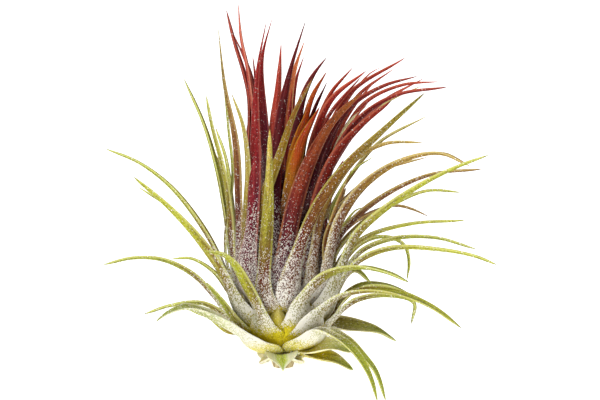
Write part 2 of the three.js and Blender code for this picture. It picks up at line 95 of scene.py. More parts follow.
# Each lamp: name, degrees round from the front, degrees up, metres away, metres across, watts
LAMPS = [
    ("key_lamp", -30, 54, 0.62, 0.42, 2.1),
    ("fill_lamp", -26, 9, 0.80, 0.60, 2.1),
    ("rim_lamp", 172, 48, 0.60, 0.40, 1.7),
]


def place_lamp(name, facing, height, distance, size, watts):
    data = bpy.data.lights.new(name, "AREA")
    data.shape = "DISK"
    data.size = size
    data.energy = watts
    lamp = link(bpy.data.objects.new(name, data))
    turn, lift = math.radians(facing), math.radians(height)
    away = np.array((math.sin(turn) * math.cos(lift), -math.cos(turn) * math.cos(lift), math.sin(lift)))
    lamp.location = PLANT_MIDDLE + away * distance
    lamp.rotation_euler = (math.pi / 2 - lift, 0, turn)


def light_the_room():
    room = bpy.data.worlds.new("pale_room")
    room.use_nodes = True
    air = room.node_tree.nodes["Background"]
    air.inputs["Color"].default_value = WHITE
    air.inputs["Strength"].default_value = SKY_GLOW
    bpy.context.scene.world = room
    bpy.context.scene.view_settings.view_transform = "Standard"
    for lamp in LAMPS:
        place_lamp(*lamp)


def lay_floor():
    """A plain white floor that glows, so that it hides its shadows and lights the leaves from below."""
    sheet = bpy.data.meshes.new("floor")
    far = FLOOR_HALF
    sheet.from_pydata([(-far, -far, 0), (far, -far, 0), (far, far, 0), (-far, far, 0)], [], [(0, 1, 2, 3)])
    floor = link(bpy.data.objects.new("floor", sheet))
    paint = bpy.data.materials.new("white_floor")
    paint.use_nodes = True
    skin = paint.node_tree.nodes["Principled BSDF"]
    skin.inputs["Base Color"].default_value = FLOOR_GREY
    skin.inputs["Roughness"].default_value = FLOOR_ROUGHNESS
    skin.inputs["Specular IOR Level"].default_value = 0
    skin.inputs["Emission Color"].default_value = WHITE
    skin.inputs["Emission Strength"].default_value = FLOOR_GLOW
    sheet.materials.append(paint)


light_the_room()
lay_floor()

# Driving sizes of the stem and leaves, in millimetres
STEM_LENGTH = 19
STEM_FOOT_RADIUS = 2.6
STEM_RADIUS = 4.2
STEM_WIDEST = 4.5
STEM_TOP_RADIUS = 1.8
STEM_LEAN = math.radians(16)
FIRST_ROOT = 3
LAST_ROOT = 16
LEAF_THICKNESS = 0.72
SHEATH_WIDTH_OUTER = 11.5
SHEATH_WIDTH_INNER = 6.5
TIP_WIDTH = 0.7
HEART_SHIFT = 1.5
HEART_HIGHEST_ROOT = 36
HEART_ROOT_DROP = 9
HEART_ROOT_SHARE = 0.4

# How a leaf changes along its length: places as shares of the length, sizes as shares of its width
ROOT_SHARE = 0.12
ROOT_PINCH = 0.7
SHEATH_FROM = 0.1
SHEATH_SHARE = 0.36
TAPER_FROM = 0.45
TAPER_LEFT = 0.3
CHANNEL_FROM = 0.15
CHANNEL_FULL = 0.5
SHEATH_CHANNEL = 0.14
BLADE_CHANNEL = 0.3
CHANNEL_BALANCE = 0.5
THICKEST_SHARE = 0.8
ROLL_FROM = 0.12
ROLL_FULL = 0.42
TIP_TAPER = 0.55

# How far a sheath bellies out between its root and its shoulder, as a share of that way
OUTER_BELLY = 0.12
INNER_BELLY = 0.2

# How the blades are bent clear of each other
DENSE_STEPS = 30
FIXED_TO = 0.1
FREE_FROM = 0.34
CROWDING = 0.3
NUDGE_SPREAD = 5
CLEAR_ROUNDS = 10
CURVE_SAMPLES = 200

# Each leaf: the degrees that it faces round from the front, its blade's width, its finish, and the
# places it passes through from shoulder to tip, in millimetres across, up and back as seen

LOW_LEAVES = [
    (0, 8.5, "green_tongue", (-0.4, 3.6, -6.5), (-0.2, 1.6, -9), (0, -1.0, -11.5)),
    (130, 5.6, "deep_green", (10, 11.0, 10), (16.1, 10.5, 14), (20.8, 9.9, 18),
     (25.2, 8.8, 22.5), (29.9, 6.0, 27.2)),
    (-42, 7.4, "white_green", (-9.8, 8.0, -11), (-16.2, 12.3, -15), (-24.6, 15.6, -20),
     (-29.5, 14.2, -22), (-32.8, 11.8, -23)),
    (75, 4.8, "deep_green", (8.5, 3.0, -3), (13.5, 1.9, -4.5), (18.2, -0.9, -5)),
    (195, 3.2, "green", (-4.5, 11, 13), (-6.5, 13.6, 21), (-8.2, 12, 28), (-9, 7.5, 34.2)),
    (35, 3.2, "olive", (9.6, 9.4, -14), (15.2, 7.0, -21), (19.3, 3.2, -28),
     (22.4, -2.2, -35), (24.2, -8.3, -40)),
    (-80, 3.0, "green", (-13, 11.8, -4.5), (-20.8, 16.6, -6), (-29.2, 16, -8), (-36.2, 13.6, -9)),
    (60, 6.2, "pale_green", (8, 5.0, -7), (13, 5.6, -8.5), (17.6, 3.8, -9.5)),
    (165, 3.2, "green", (4, 11, 13), (6, 14, 22), (7.4, 12.6, 30), (8, 7.9, 36.6)),
    (48, 2.9, "olive", (11, 10.0, -11), (15.8, 7.9, -17), (20, 3.8, -24),
     (23.8, -0.8, -31), (26.3, -8.1, -39)),
]

OUTER_LEAVES = [
    (40, 3.6, "lime", (8, 12.4, -12), (15, 18.6, -16), (26, 20.0, -20), (37.8, 16.0, -25), (46, 10.2, -28)),
    (180, 3.2, "green", (0, 18, 17), (0, 25, 27), (0, 28, 37), (0, 27, 47)),
    (-30, 3.6, "lime", (-6, 14, -13), (-9.2, 20.5, -17), (-12.6, 26.6, -20),
     (-15.8, 29.4, -24), (-20.3, 30.2, -29)),
    (80, 3.6, "green", (12.2, 11.6, -4), (18.5, 17.2, -6), (27, 18.7, -8),
     (34, 16.6, -10), (33.2, 11, -11)),
    (-128, 2.8, "green", (-10.5, 16, 13), (-14, 21, 20), (-15.4, 22.5, 27), (-15.4, 21.5, 34)),
    (25, 3.6, "green", (4.8, 16.5, -13), (11, 23.6, -17.5), (19, 26, -23),
     (27, 24.6, -29), (32.4, 22.1, -33)),
    (-88, 3.6, "green", (-13.4, 12, 1), (-17.6, 18, 0), (-23, 23.8, -1),
     (-31, 27.8, -2.5), (-39, 28.3, -4), (-46.8, 26.4, -6)),
    (100, 3.4, "green", (15.2, 17, 5), (20.5, 20.9, 6.5), (27, 21, 8), (33.4, 18.6, 9)),
    (-68, 3.8, "green", (-12.4, 12.3, -5.5), (-16.4, 17.8, -7.5), (-19.8, 21.9, -9.5)),
    (86, 3.8, "deep_green", (13.4, 19.4, -2), (18.4, 25.0, -4), (22.8, 21.8, -6)),
]

MIDDLE_LEAVES = [
    (75, 3.6, "lime", (14.5, 20.8, -5), (19.2, 27.2, -7), (28, 30.9, -9.5),
     (41, 30.5, -13), (50, 28.7, -16), (55.4, 26.4, -18)),
    (-46, 3.6, "lime", (-11.8, 16, -7.5), (-15.4, 23.6, -9.5), (-22.2, 33.4, -11.5),
     (-30, 41.8, -13.5), (-38.7, 49.3, -15)),
    (155, 2.8, "green", (6, 21, 16), (9.4, 29, 25), (11.6, 34.6, 33), (13.5, 37.5, 42)),
    (90, 3.3, "green", (15, 23, 1), (20.2, 30, 1.5), (28.9, 33.4, 1), (40, 33.5, 0), (50.4, 30.4, -2)),
    (-98, 3.2, "green", (-13.5, 20, 6.5), (-16.2, 27.5, 8), (-21.6, 37.2, 9),
     (-29.4, 46.9, 9.5), (-38, 53.3, 9), (-46.6, 56.7, 8)),
    (52, 3.4, "lime", (15, 25, -7), (18.6, 33.4, -9.5), (24.7, 39.6, -11.5),
     (36, 47.4, -14.5), (46, 52.3, -17), (53.3, 54.9, -19)),
    (205, 2.8, "green", (-5.5, 21, 16), (-8.6, 29.4, 25), (-10.8, 34, 33), (-12, 36.4, 42)),
    (108, 2.8, "green", (14.5, 25, 8), (20, 31.8, 10.5), (26.4, 33.8, 12.5),
     (31.6, 31.6, 13.5), (33, 27, 14), (32.3, 21.9, 13.5)),
    (-83, 2.2, "green", (-14.6, 22, -1), (-21, 32.6, -2), (-28, 40.4, -3), (-37.7, 46.7, -4)),
    (73, 3.3, "brown", (12, 28, -4.5), (15.8, 35.4, -5.5), (25.2, 43.8, -5),
     (38.2, 49.9, -5), (52, 51.3, -6)),
    (184, 3.4, "brown", (-0.6, 23, 17), (-1.4, 34, 24), (-1.8, 44, 32), (-2.4, 51, 41)),
    (-105, 2.4, "green", (-14, 19, 8.5), (-18, 24.4, 12), (-24, 28, 14.5), (-29.4, 27.8, 16.5)),
    (96, 3.0, "lime", (14.6, 27.5, 4.5), (21.4, 33.6, 6), (33, 37.1, 7.5), (47.9, 38, 8.5)),
    (60, 4.4, "tan", (12, 28, -9), (14.6, 37.6, -10), (20.6, 46.6, -9.5),
     (30.4, 53.3, -8.5), (40.8, 55.4, -8), (48.6, 51.9, -7)),
    (-138, 2.8, "bronze", (-10, 25, 14), (-13, 36, 20), (-15.4, 47, 26), (-17.6, 55, 32)),
    (112, 2.8, "lime", (13.6, 29, 11), (20, 36.6, 14), (29, 42.3, 17), (38, 45.8, 19), (47, 45.2, 21)),
    (-165, 3.2, "bronze", (-5, 24, 15.6), (-7, 37, 21), (-8.6, 48, 27), (-9.4, 57, 34)),
    (140, 3.2, "brown", (8.4, 24, 14), (11.6, 33, 19.4), (14.4, 41, 26), (16.6, 46.6, 34)),
    (122, 2.2, "bronze", (11.6, 29, 14), (18, 37, 18), (28.8, 41.8, 22), (33.6, 41, 24), (38.4, 38.8, 26)),
]

UPRIGHT_LEAVES = [
    (18, 3.3, "olive_front", (1.6, 20, -13.6), (4.4, 31, -15), (9.3, 42, -15),
     (16.8, 52.3, -13.5), (26.4, 61.6, -12), (37, 71.2, -11)),
    (-14, 3.6, "lime_front", (-5, 18, -13), (-4.6, 30, -15.5), (-3.8, 43, -15.5),
     (-3.5, 54, -17.5), (-3.4, 61.6, -22)),
    (4, 4.6, "copper", (-0.6, 20, -11.4), (0.9, 31, -12.8), (3.2, 42.5, -12),
     (7.2, 53.8, -9.5), (12.8, 63.6, -6), (20.5, 71.2, -3)),
    (-26, 3.6, "crimson", (-9.2, 24, -10.6), (-8, 38, -9.6), (-7.4, 54, -6),
     (-7.2, 70, 0), (-6.4, 79, 4), (-4.3, 90.2, 8)),
    (-58, 3.0, "olive_tipped", (-11, 26, -6.5), (-11.6, 41, -5), (-12.4, 58, -1),
     (-15.2, 73, 3), (-17, 88.6, 8)),
    (-44, 2.6, "straw", (-10, 28, -8.8), (-9.6, 41, -8.4), (-9.2, 52, -8),
     (-10.4, 62.5, -8.5), (-13.4, 71, -10)),
    (45, 3.2, "tan", (8, 28, -10.4), (10.6, 41, -10.6), (14.6, 48.6, -10.4),
     (20, 54.7, -9.8), (27.5, 58.1, -9.2), (36.4, 58.1, -9)),
    (-80, 3.4, "green_over_rust", (-12.8, 28, -1.5), (-14, 42, 0.5), (-15.7, 52, 1.5),
     (-18.3, 62, 1.5), (-20, 70.6, 1)),
    (-112, 2.6, "green", (-13.4, 28, 8), (-15.2, 41, 11), (-17.4, 52, 14), (-20.9, 63.6, 17),
     (-26.2, 75.4, 20)),
    (-5, 3.0, "olive_gold", (-6.8, 31, -9.8), (-5.4, 42, -9.6), (-1, 54.5, -7.6),
     (3, 66, -5), (7.8, 75.1, -2.5)),
    (42, 4.4, "russet_red", (7.4, 32, -8), (9.4, 43.4, -7.6), (13.7, 54.6, -5.8),
     (20.6, 62.8, -4), (28.2, 69, -2)),
    (60, 3.2, "dark_red", (9.8, 34, -3.6), (11.2, 48, -2.8), (18.2, 62.6, -1.8),
     (29, 70.4, -0.6), (43.3, 72.7, 0.6)),
    (6, 3.4, "maroon", (-2.4, 35, -7.6), (-2, 49, -5.6), (-0.6, 65, -1.6), (2, 77.4, 3), (6, 90.4, 8)),
    (-115, 3.2, "dark_red", (-9.3, 30, 9), (-8.9, 52, 11.5), (-8.8, 69.6, 14.5),
     (-10.4, 77, 16), (-12.4, 83.4, 17.5), (-15, 93.4, 20)),
    (-95, 3.0, "pale_lime", (-12.2, 30, 4.5), (-13.2, 42, 6), (-14.8, 54, 7.5), (-17.7, 62.4, 8.5)),
    (170, 3.0, "bronze", (1, 27, 17), (0.6, 40, 22), (0.4, 52, 28), (0.4, 62, 36)),
    (145, 3.0, "russet_red", (8, 27, 14.6), (11, 39, 20), (13.2, 48, 27), (16, 54, 34)),
    (215, 3.0, "russet_red", (-6.5, 30, 15), (-8, 44, 19.6), (-9, 55, 25), (-9.6, 63, 31)),
    (165, 2.8, "crimson", (2.4, 33, 15), (2.4, 47, 19.6), (2, 60, 25), (2, 71, 31)),
]

HEART_LEAVES = [
    (18, 3.8, "maroon", (5.2, 42, -8.8), (9, 54.6, -6.6), (15.5, 65.4, -5)),
    (12, 3.8, "flame", (1.4, 42, -8.2), (4.6, 57.6, -4.8), (9.6, 67.6, -2)),
    # This leaf's bright amber finish is partly its own orange and partly a painted glow of light shining
    # through it from behind
    (30, 3.6, "amber", (2.8, 42, -5.2), (2.4, 49, -4), (3.4, 57.6, -2.4), (6.4, 67, -0.6)),
    (-120, 2.2, "dark_red", (-5, 44, 8), (-6.6, 62, 13), (-8.5, 76, 19), (-13.3, 87.3, 25)),
    (-100, 2.4, "rose", (-4.6, 44, 4), (-7, 61, 8), (-9.2, 77.5, 12.5), (-10.9, 85.5, 15), (-11.8, 95, 17)),
    (-60, 2.2, "dark_red", (-4, 44, 1), (-5.6, 62, 5.5), (-8, 81.2, 10.5)),
    (-20, 2.8, "crimson", (-3.2, 42, -1.5), (-4.6, 57, 0), (-5.8, 72, 5), (-5.4, 81, 9), (-2.8, 91, 12.5)),
    (-5, 2.8, "rose", (-1.6, 44, -0.5), (-2.4, 61, 3), (-1.3, 72.6, 6), (-0.5, 84.4, 10)),
    (175, 2.6, "pale_orange", (0.6, 44, 8), (1, 62, 13), (2.7, 76, 17), (5.6, 85, 21)),
    (150, 2.2, "scarlet", (3, 44, 8), (2.2, 62, 16), (3.3, 74, 20), (5.5, 81.2, 23)),
    (40, 2.2, "scarlet", (1.4, 44, 1.6), (1.2, 58, 5), (2.3, 72.8, 8)),
    (30, 3.2, "maroon", (2.4, 42, -1.8), (2.8, 55, 0.6), (5, 69, 3.6), (7.8, 75.6, 5.6), (11.5, 80.6, 7.6)),
    (48, 3.0, "rust", (3.6, 42, -0.6), (4.5, 56, 2), (7.4, 69.4, 5.6), (11.5, 77, 9.5)),
    (70, 2.4, "maroon", (4.4, 44, 2.4), (5.3, 57, 6), (8.1, 66.8, 9), (11.6, 74.3, 11.5)),
    (75, 3.0, "scarlet", (5, 44, 3.6), (7.4, 57.4, 7.4), (12.2, 70.8, 10.6), (18.3, 78, 13)),
    (60, 3.6, "scarlet", (5.6, 42, -0.4), (7.5, 56.2, 0.4), (12.5, 69.2, 1.4), (21.8, 77, 2.6)),
    (85, 3.4, "scarlet", (6.4, 42, 4.6), (10, 56.4, 8.6), (17.2, 71, 12), (32.3, 80.7, 15)),
    (100, 2.6, "scarlet", (6, 42, 8), (11.4, 56, 12.4), (19.3, 70.4, 16.4), (29.2, 77.8, 19.5)),
    (125, 2.2, "dark_red", (5, 42, 10.4), (11, 56, 17), (18, 68.8, 21), (25.7, 73, 24.5)),
    (72, 3.4, "dark_red", (7.6, 38, 1.2), (10.5, 54, 2.6), (16.8, 66.8, 4.6),
     (26, 73, 6.6), (35.3, 75.6, 8.4)),
    (92, 3.0, "scarlet", (8, 38, 4.4), (12.2, 52.4, 7), (20.5, 68, 9.6), (30.7, 73.3, 11.6), (41, 74.2, 13)),
    (115, 2.4, "scarlet", (7, 38, 9.6), (14, 54, 14.6), (25, 68.2, 18.6), (37.3, 75.4, 22)),
    (130, 2.2, "straw", (6, 38, 12.4), (13.6, 54, 20), (25.6, 68, 25.6), (36.9, 73.5, 29)),
    (95, 2.4, "cream", (8.4, 36, 3), (12.4, 54, 5), (16.4, 62.8, 7), (22.1, 68.1, 8.6)),
    (90, 2.4, "straw", (9, 36, 1), (17, 49, 1.4), (25, 58.4, 1.6), (37.7, 65.2, 2)),
    (102, 2.4, "tan", (9, 36, 5.6), (18, 45.2, 8), (26, 51.2, 9.6), (38, 54.5, 11)),
]

# Small leaves too slight for a solid of their own: bases and lobes at the foot, then thin tips
SLIGHT_LEAVES = [
    (-8, 8.0, "yellow_base", (-1.6, 10, -8.4), (-1.4, 12.5, -9.8), (-1.2, 15.5, -10.6)),
    (20, 7.0, "yellow_base", (2.6, 9.5, -8.8), (3.6, 11.5, -10.2), (4.6, 14, -11)),
    (-62, 5.0, "papery", (-3.6, 2.6, -4.4), (-5.0, 1.5, -5.4), (-6.2, 0.9, -6)),
    (52, 4.6, "papery", (3.0, 2.4, -4.6), (4.4, 1.4, -5.6), (5.6, 1.3, -6.4)),
    (-70, 2.4, "lime", (-10, 8.4, -6), (-14.6, 9.4, -8), (-19, 12.8, -10), (-25, 15.1, -12)),
    (62, 1.9, "brown", (10.9, 32.8, -9.6), (12.5, 38, -10.8), (14.3, 43.2, -11.6), (17.9, 51.5, -12)),
    (70, 1.6, "green", (12.5, 40, -2), (15.5, 46.8, -2.5), (18.5, 51.2, -3), (23.7, 54.6, -3.5)),
    (75, 2.0, "green", (13, 32, 2), (16.4, 37.7, 2), (19.2, 40.8, 2), (21.6, 41.3, 2)),
    (105, 1.6, "scarlet", (10, 52, 10), (16, 68, 13), (23.1, 76.7, 15.5), (26, 78, 16)),
    (-85, 1.4, "green", (-13, 50, 5), (-14.2, 62, 7), (-15.3, 73, 9), (-16.4, 79.6, 10)),
    (62, 2.8, "dark_red", (6.4, 44, 0.6), (10.6, 62.5, 1.4), (13.1, 67, 2), (20.6, 75.6, 3.4)),
    (88, 2.4, "scarlet", (9, 46, 3.5), (14, 60, 5.5), (19, 68.5, 7.5), (24.5, 74.8, 9.5)),
    (84, 2.2, "dark_red", (10, 46, 2.5), (15.4, 58.5, 4), (19.8, 66, 5.5), (22.6, 69, 6.2)),
]

# How far up the stem these root, as a share of the leaves' way, and the most that their sheaths spread,
# in millimetres and in blade widths
SLIGHT_RANK = 0.15
SLIGHT_SHEATH = 7.0
SLIGHT_SHEATH_TIMES = 1.6

# How finely a leaf is made, the least gap between its corners, and its coat of scales, in millimetres
# and radians
LEAF_SIDES = 20
LEAF_STATIONS = 44
LEAF_WELD = 0.002
SCALES_PER_SQUARE_MM = 30
SCALE_LENGTH = 0.19
SCALE_WIDTH = 0.15
SCALE_LIFT = 0.05
SCALE_TILT = 0.4
LEAST_SCALE = 0.6
LARGEST_SCALE = 1.2
TIP_COVER = 0.002

# The bare yellow root, in millimetres, then where the coat of scales is thick and thin: places as
# shares of the leaf's length
BARE_TO = 6.0
BARE_ENDS = 12.5
THICK_TO = 0.18
HALF_AT = 0.32
THIN_FROM = 0.51
THICK_COVER = 0.75
HALF_COVER = 0.36
MARGIN_EXTRA = 0.5
INSIDE_SHARE = 0.6
INSIDE_FROM = 0.2
INSIDE_FULL = 0.32

# The skin's sides go from -1 inside the leaf's channel to 1 on its back: where the cover and the raised
# scales change from one side to the other
COVER_TURNS = (-0.5, 0.1)
SCALES_TURN = (-0.1, 0.1)

# The silver scales that lie flat and are only coloured in, and how softly each one ends
FLAT_SCALES_PER_MM = 6.2
SCALE_STRETCH = 0.72
SCALE_SILVER = (238, 233, 222)
SCALE_STRENGTH = 0.85
SCALE_EDGE = 0.04

# Patterns in a leaf's skin: how many times longer than wide they are, then how many to a millimetre.
# Each leaf's own sheet of them lies this far from the next one's.
CLOUDS = (5.0, 0.6)
VEINS = (14.0, 2.6)
SHADOWS = (20.0, 1.9)
MOTTLES = (1.6, 3.4)
PATTERN_DETAIL = 2.0
SHEETS_APART = 23.0

# The levels of a pattern between which its strength changes, then its strength at both
VEIN_STRENGTH = (0.52, 0.8, 0.0, 0.4)
SHADOW_STRENGTH = (0.28, 0.5, 0.5, 0.0)
MOTTLE_STRENGTH = (0.35, 0.6, 0.5, 0.0)
SHADOW_LIGHT = 0.5

# The pale margins, as shares of the way from the middle to the edge, and how far they and the bare root
# wander with the clouds
RIM = (0.7, 0.96)
WIDE_RIMS = {"green_tongue": (0.2, 0.55)}
RIM_STRENGTH = 0.65
RIM_WANDER = 0.25
BARE_WANDER = 6.0

# The bud of young leaves at the heart: millimetres up the stem's line, then its leaves and their laps
BUD_RADIUS = 5.9
BUD_BOTTOM = 20.2
BUD_TOP = 51.8
BUD_LEAVES = 7
BUD_LAP = 0.16
BUD_TWIST = 0.4
BUD_SIDES = 84
BUD_BANDS = 40
BUD_WELD = 0.001

# How far these leaves are rolled about their own line, in degrees
ROLLS = {
    "low_leaf_02": -45,
    "low_leaf_03": 25,
    "low_leaf_04": -35,
    "low_leaf_08": -40,
    "outer_leaf_01": -15,
    "outer_leaf_08": -20,
    "outer_leaf_10": -35,
}

# How much of these leaves' length their tips are drawn out over
LONG_TIPS = {
    "low_leaf_01": 0.4,
    "low_leaf_02": 0.2,
    "low_leaf_03": 0.45,
    "upright_leaf_04": 0.38,
    "upright_leaf_05": 0.4,
    "upright_leaf_13": 0.3,
    "heart_leaf_07": 0.4,
}

STEM_AXIS = np.array((0, math.sin(STEM_LEAN), math.cos(STEM_LEAN)))


def mix(a, b, share):
    return a + (b - a) * share


def ease(value, start, end):
    """A smooth step from 0 at the start to 1 at the end."""
    share = np.clip((value - start) / (end - start), 0, 1)
    return share * share * (3 - 2 * share)


def outward(facing):
    """The way from the stem out to a leaf that faces this many degrees round from the front."""
    turn = math.radians(facing)
    return seen(math.sin(turn), 0, -math.cos(turn))


def across_blade(facing):
    """The way across a leaf's blade, level at its root."""
    turn = math.radians(facing)
    return seen(math.cos(turn), 0, math.sin(turn))


def stem_radius(height):
    """A narrow foot, widest low down, then a long taper."""
    if height < STEM_WIDEST:
        return mix(STEM_FOOT_RADIUS, STEM_RADIUS, height / STEM_WIDEST)
    return mix(STEM_RADIUS, STEM_TOP_RADIUS, (height - STEM_WIDEST) / (STEM_LENGTH - STEM_WIDEST))


def curve_point(places, share):
    """A point at this share of the spans of a centripetal Catmull-Rom curve through the places."""
    spans = len(places) - 1
    span = min(int(share * spans), spans - 1)
    t = share * spans - span
    start, end = places[span], places[span + 1]
    before = places[span - 1] if span > 0 else 2 * start - end
    after = places[span + 2] if span + 2 <= spans else 2 * end - start
    steps = [math.sqrt(np.linalg.norm(b - a)) for a, b in ((before, start), (start, end), (end, after))]
    leave = (start - before) / steps[0] - (end - before) / (steps[0] + steps[1]) + (end - start) / steps[1]
    reach = (end - start) / steps[1] - (after - start) / (steps[1] + steps[2]) + (after - end) / steps[2]
    leave, reach = leave * steps[1], reach * steps[1]
    square = 3 * (end - start) - 2 * leave - reach
    cube = 2 * (start - end) + leave + reach
    return start + t * (leave + t * (square + t * cube))


def even_line(places):
    """The curve through the places as steps of one length."""
    shares = np.linspace(0, 1, CURVE_SAMPLES + 1)
    points = np.array([curve_point(places, share) for share in shares])
    lengths = np.concatenate(([0], np.cumsum(np.linalg.norm(np.diff(points, axis=0), axis=1))))
    wanted = np.interp(np.linspace(0, lengths[-1], DENSE_STEPS + 1), lengths, shares)
    return np.array([curve_point(places, share) for share in wanted])


def middle_places(row, rank):
    """A leaf's own points, after its root on the stem and its waist round the bulb."""
    facing, _, _, *points = row
    places = [seen(*point) for point in points]
    height = mix(FIRST_ROOT, LAST_ROOT, rank)
    root = STEM_AXIS * height + outward(facing) * stem_radius(height)
    belly = np.linalg.norm(root - places[0]) * mix(OUTER_BELLY, INNER_BELLY, rank)
    waist = (root + places[0]) / 2 + outward(facing) * belly
    return [root, waist, *places]


def heart_places(row):
    """A heart leaf's own points, after its root a share of the way out from the line of the stem."""
    places = [seen(*point) for point in row[3:]]
    height = min(places[0][2] - HEART_ROOT_DROP, HEART_HIGHEST_ROOT)
    root = STEM_AXIS * height + np.array((HEART_SHIFT, 0, 0))
    return [mix(root, places[0], HEART_ROOT_SHARE), *places]


def width_at(share, blade, sheath):
    """Width along a leaf: a broad sheath, a slowly narrowing blade, a drawn-out tip."""
    root = mix(ROOT_PINCH, 1, ease(share, 0, ROOT_SHARE))
    body = mix(sheath, blade, ease(share, SHEATH_FROM, SHEATH_SHARE))
    taper = mix(1, TAPER_LEFT, ease(share, TAPER_FROM, 1))
    return np.maximum(root * body * taper, TIP_WIDTH)


def sketch(name, zone, row, places, sheath_width, steps):
    """A leaf before it is made: its sizes, its middle line and the room it takes along it."""
    facing, blade, finish, *_ = row
    sheath = max(sheath_width, blade)
    shares = np.linspace(0, 1, DENSE_STEPS + 1)
    return {
        "name": name,
        "zone": zone,
        "finish": finish,
        "facing": facing,
        "blade": blade,
        "sheath": sheath,
        "tip_share": LONG_TIPS.get(name, 1 / steps),
        "line": even_line(places),
        "room": CROWDING * width_at(shares, blade, sheath),
    }


def meeting(one, other):
    """The room to spare where two leaves are most crowded, past their sheaths, and each one's step there."""
    first = round(DENSE_STEPS * FREE_FROM)
    apart = np.linalg.norm(one["line"][first:, None] - other["line"][None, first:], axis=2)
    spare = apart - one["room"][first:, None] - other["room"][None, first:] - LEAF_THICKNESS
    a, b = np.unravel_index(np.argmin(spare), spare.shape)
    return spare[a, b], a + first, b + first


def nudge(leaf, centre, amount):
    """Moves a leaf back or forward round one step, less and less away from it and not at its root."""
    steps = np.arange(DENSE_STEPS + 1)
    freedom = ease(steps / DENSE_STEPS, FIXED_TO, FREE_FROM)
    share = freedom * np.exp(-((steps - centre) / NUDGE_SPREAD) ** 2)
    leaf["line"] += np.outer(amount * share, BACKWARD)


def bend_clear(leaves):
    """Where two blades would meet, both give way a little, one forward and one back."""
    pairs = [(one, other) for i, one in enumerate(leaves) for other in leaves[i + 1:]]
    for _ in range(CLEAR_ROUNDS):
        for one, other in pairs:
            spare, a, b = meeting(one, other)
            if spare < 0:
                behind = np.dot(one["line"][a] - other["line"][b], BACKWARD) > 0
                amount = (-spare if behind else spare) / 2
                nudge(one, a, amount)
                nudge(other, b, -amount)


# Each zone of separate leaves: its name and rows, then the steps of its solids from root to tip
ZONES = [("low", LOW_LEAVES, 10), ("outer", OUTER_LEAVES, 11), ("middle", MIDDLE_LEAVES, 12),
         ("upright", UPRIGHT_LEAVES, 12)]
HEART_STEPS = 6
SLIGHT_STEPS = 8


def sketched_leaves():
    total = sum(len(rows) for _, rows, _ in ZONES)
    leaves = []
    for zone, rows, steps in ZONES:
        for number, row in enumerate(rows, 1):
            rank = len(leaves) / total
            sheath = mix(SHEATH_WIDTH_OUTER, SHEATH_WIDTH_INNER, rank)
            name = f"{zone}_leaf_{number:02d}"
            leaves.append(sketch(name, zone, row, middle_places(row, rank), sheath, steps))
    return leaves


def sketched_slight():
    return [sketch(f"slight_leaf_{number:02d}", "slight", row, middle_places(row, SLIGHT_RANK),
                   min(SLIGHT_SHEATH, SLIGHT_SHEATH_TIMES * row[1]), SLIGHT_STEPS)
            for number, row in enumerate(SLIGHT_LEAVES, 1)]


def sketched_heart():
    return [sketch(f"heart_leaf_{number:02d}", "heart", row, heart_places(row), row[1], HEART_STEPS)
            for number, row in enumerate(HEART_LEAVES, 1)]


outer_leaves = sketched_leaves()
heart_leaves = sketched_heart()
bend_clear(outer_leaves + heart_leaves)
slight_leaves = sketched_slight()


class Bench:
    """A node tree being laid out. An input of a new node takes a value or another node's socket."""

    def __init__(self, tree):
        self.tree = tree

    def feed(self, made, inputs):
        """Wires sockets to a node's inputs and sets plain values on them."""
        for place, value in inputs.items():
            if isinstance(value, bpy.types.NodeSocket):
                self.tree.links.new(value, made.inputs[place])
            else:
                made.inputs[place].default_value = value

    def node(self, kind, inputs, **settings):
        made = self.tree.nodes.new(kind)
        for name, value in settings.items():
            setattr(made, name, value)
        self.feed(made, inputs)
        return made

    def first(self, kind, inputs, **settings):
        """The first output of a new node."""
        return self.node(kind, inputs, **settings).outputs[0]

    def math(self, operation, *values):
        return self.first("ShaderNodeMath", dict(enumerate(values)), operation=operation)

    def plus(self, total, *others):
        for other in others:
            total = self.math("ADD", total, other)
        return total

    def times(self, total, *others):
        for other in others:
            total = self.math("MULTIPLY", total, other)
        return total

    def vector(self, operation, *values):
        made = self.node("ShaderNodeVectorMath", dict(enumerate(values)), operation=operation)
        return made.outputs["Value" if operation == "DOT_PRODUCT" else "Vector"]

    def scaled(self, vector, amount):
        made = self.node("ShaderNodeVectorMath", {"Vector": vector, "Scale": amount}, operation="SCALE")
        return made.outputs["Vector"]

    def eased(self, value, start, end, low=0.0, high=1.0, kind="SMOOTHSTEP"):
        """Goes from low at the start to high at the end."""
        values = dict(enumerate((value, start, end, low, high)))
        return self.first("ShaderNodeMapRange", values, interpolation_type=kind)

    def mixed(self, share, a, b):
        return self.first("ShaderNodeMix", {0: share, 2: a, 3: b}, data_type="FLOAT")

    def tinted(self, share, a, b, blend="MIX"):
        """One colour laid over another by a share."""
        made = self.node("ShaderNodeMix", {0: share, 6: a, 7: b}, data_type="RGBA", blend_type=blend)
        return made.outputs[2]


def new_shape_tree(name, sizes):
    """An empty Geometry Nodes tree that takes a shape and the named sizes, and its bench and inputs."""
    tree = bpy.data.node_groups.new(name, "GeometryNodeTree")
    tree.interface.new_socket("Geometry", in_out="INPUT", socket_type="NodeSocketGeometry")
    for size, kind in sizes:
        tree.interface.new_socket(size, in_out="INPUT", socket_type="NodeSocket" + kind)
    tree.interface.new_socket("Geometry", in_out="OUTPUT", socket_type="NodeSocketGeometry")
    bench = Bench(tree)
    return bench, bench.node("NodeGroupInput", {}).outputs


def end_tree(bench, shape):
    bench.node("NodeGroupOutput", {"Geometry": shape})
    return bench.tree


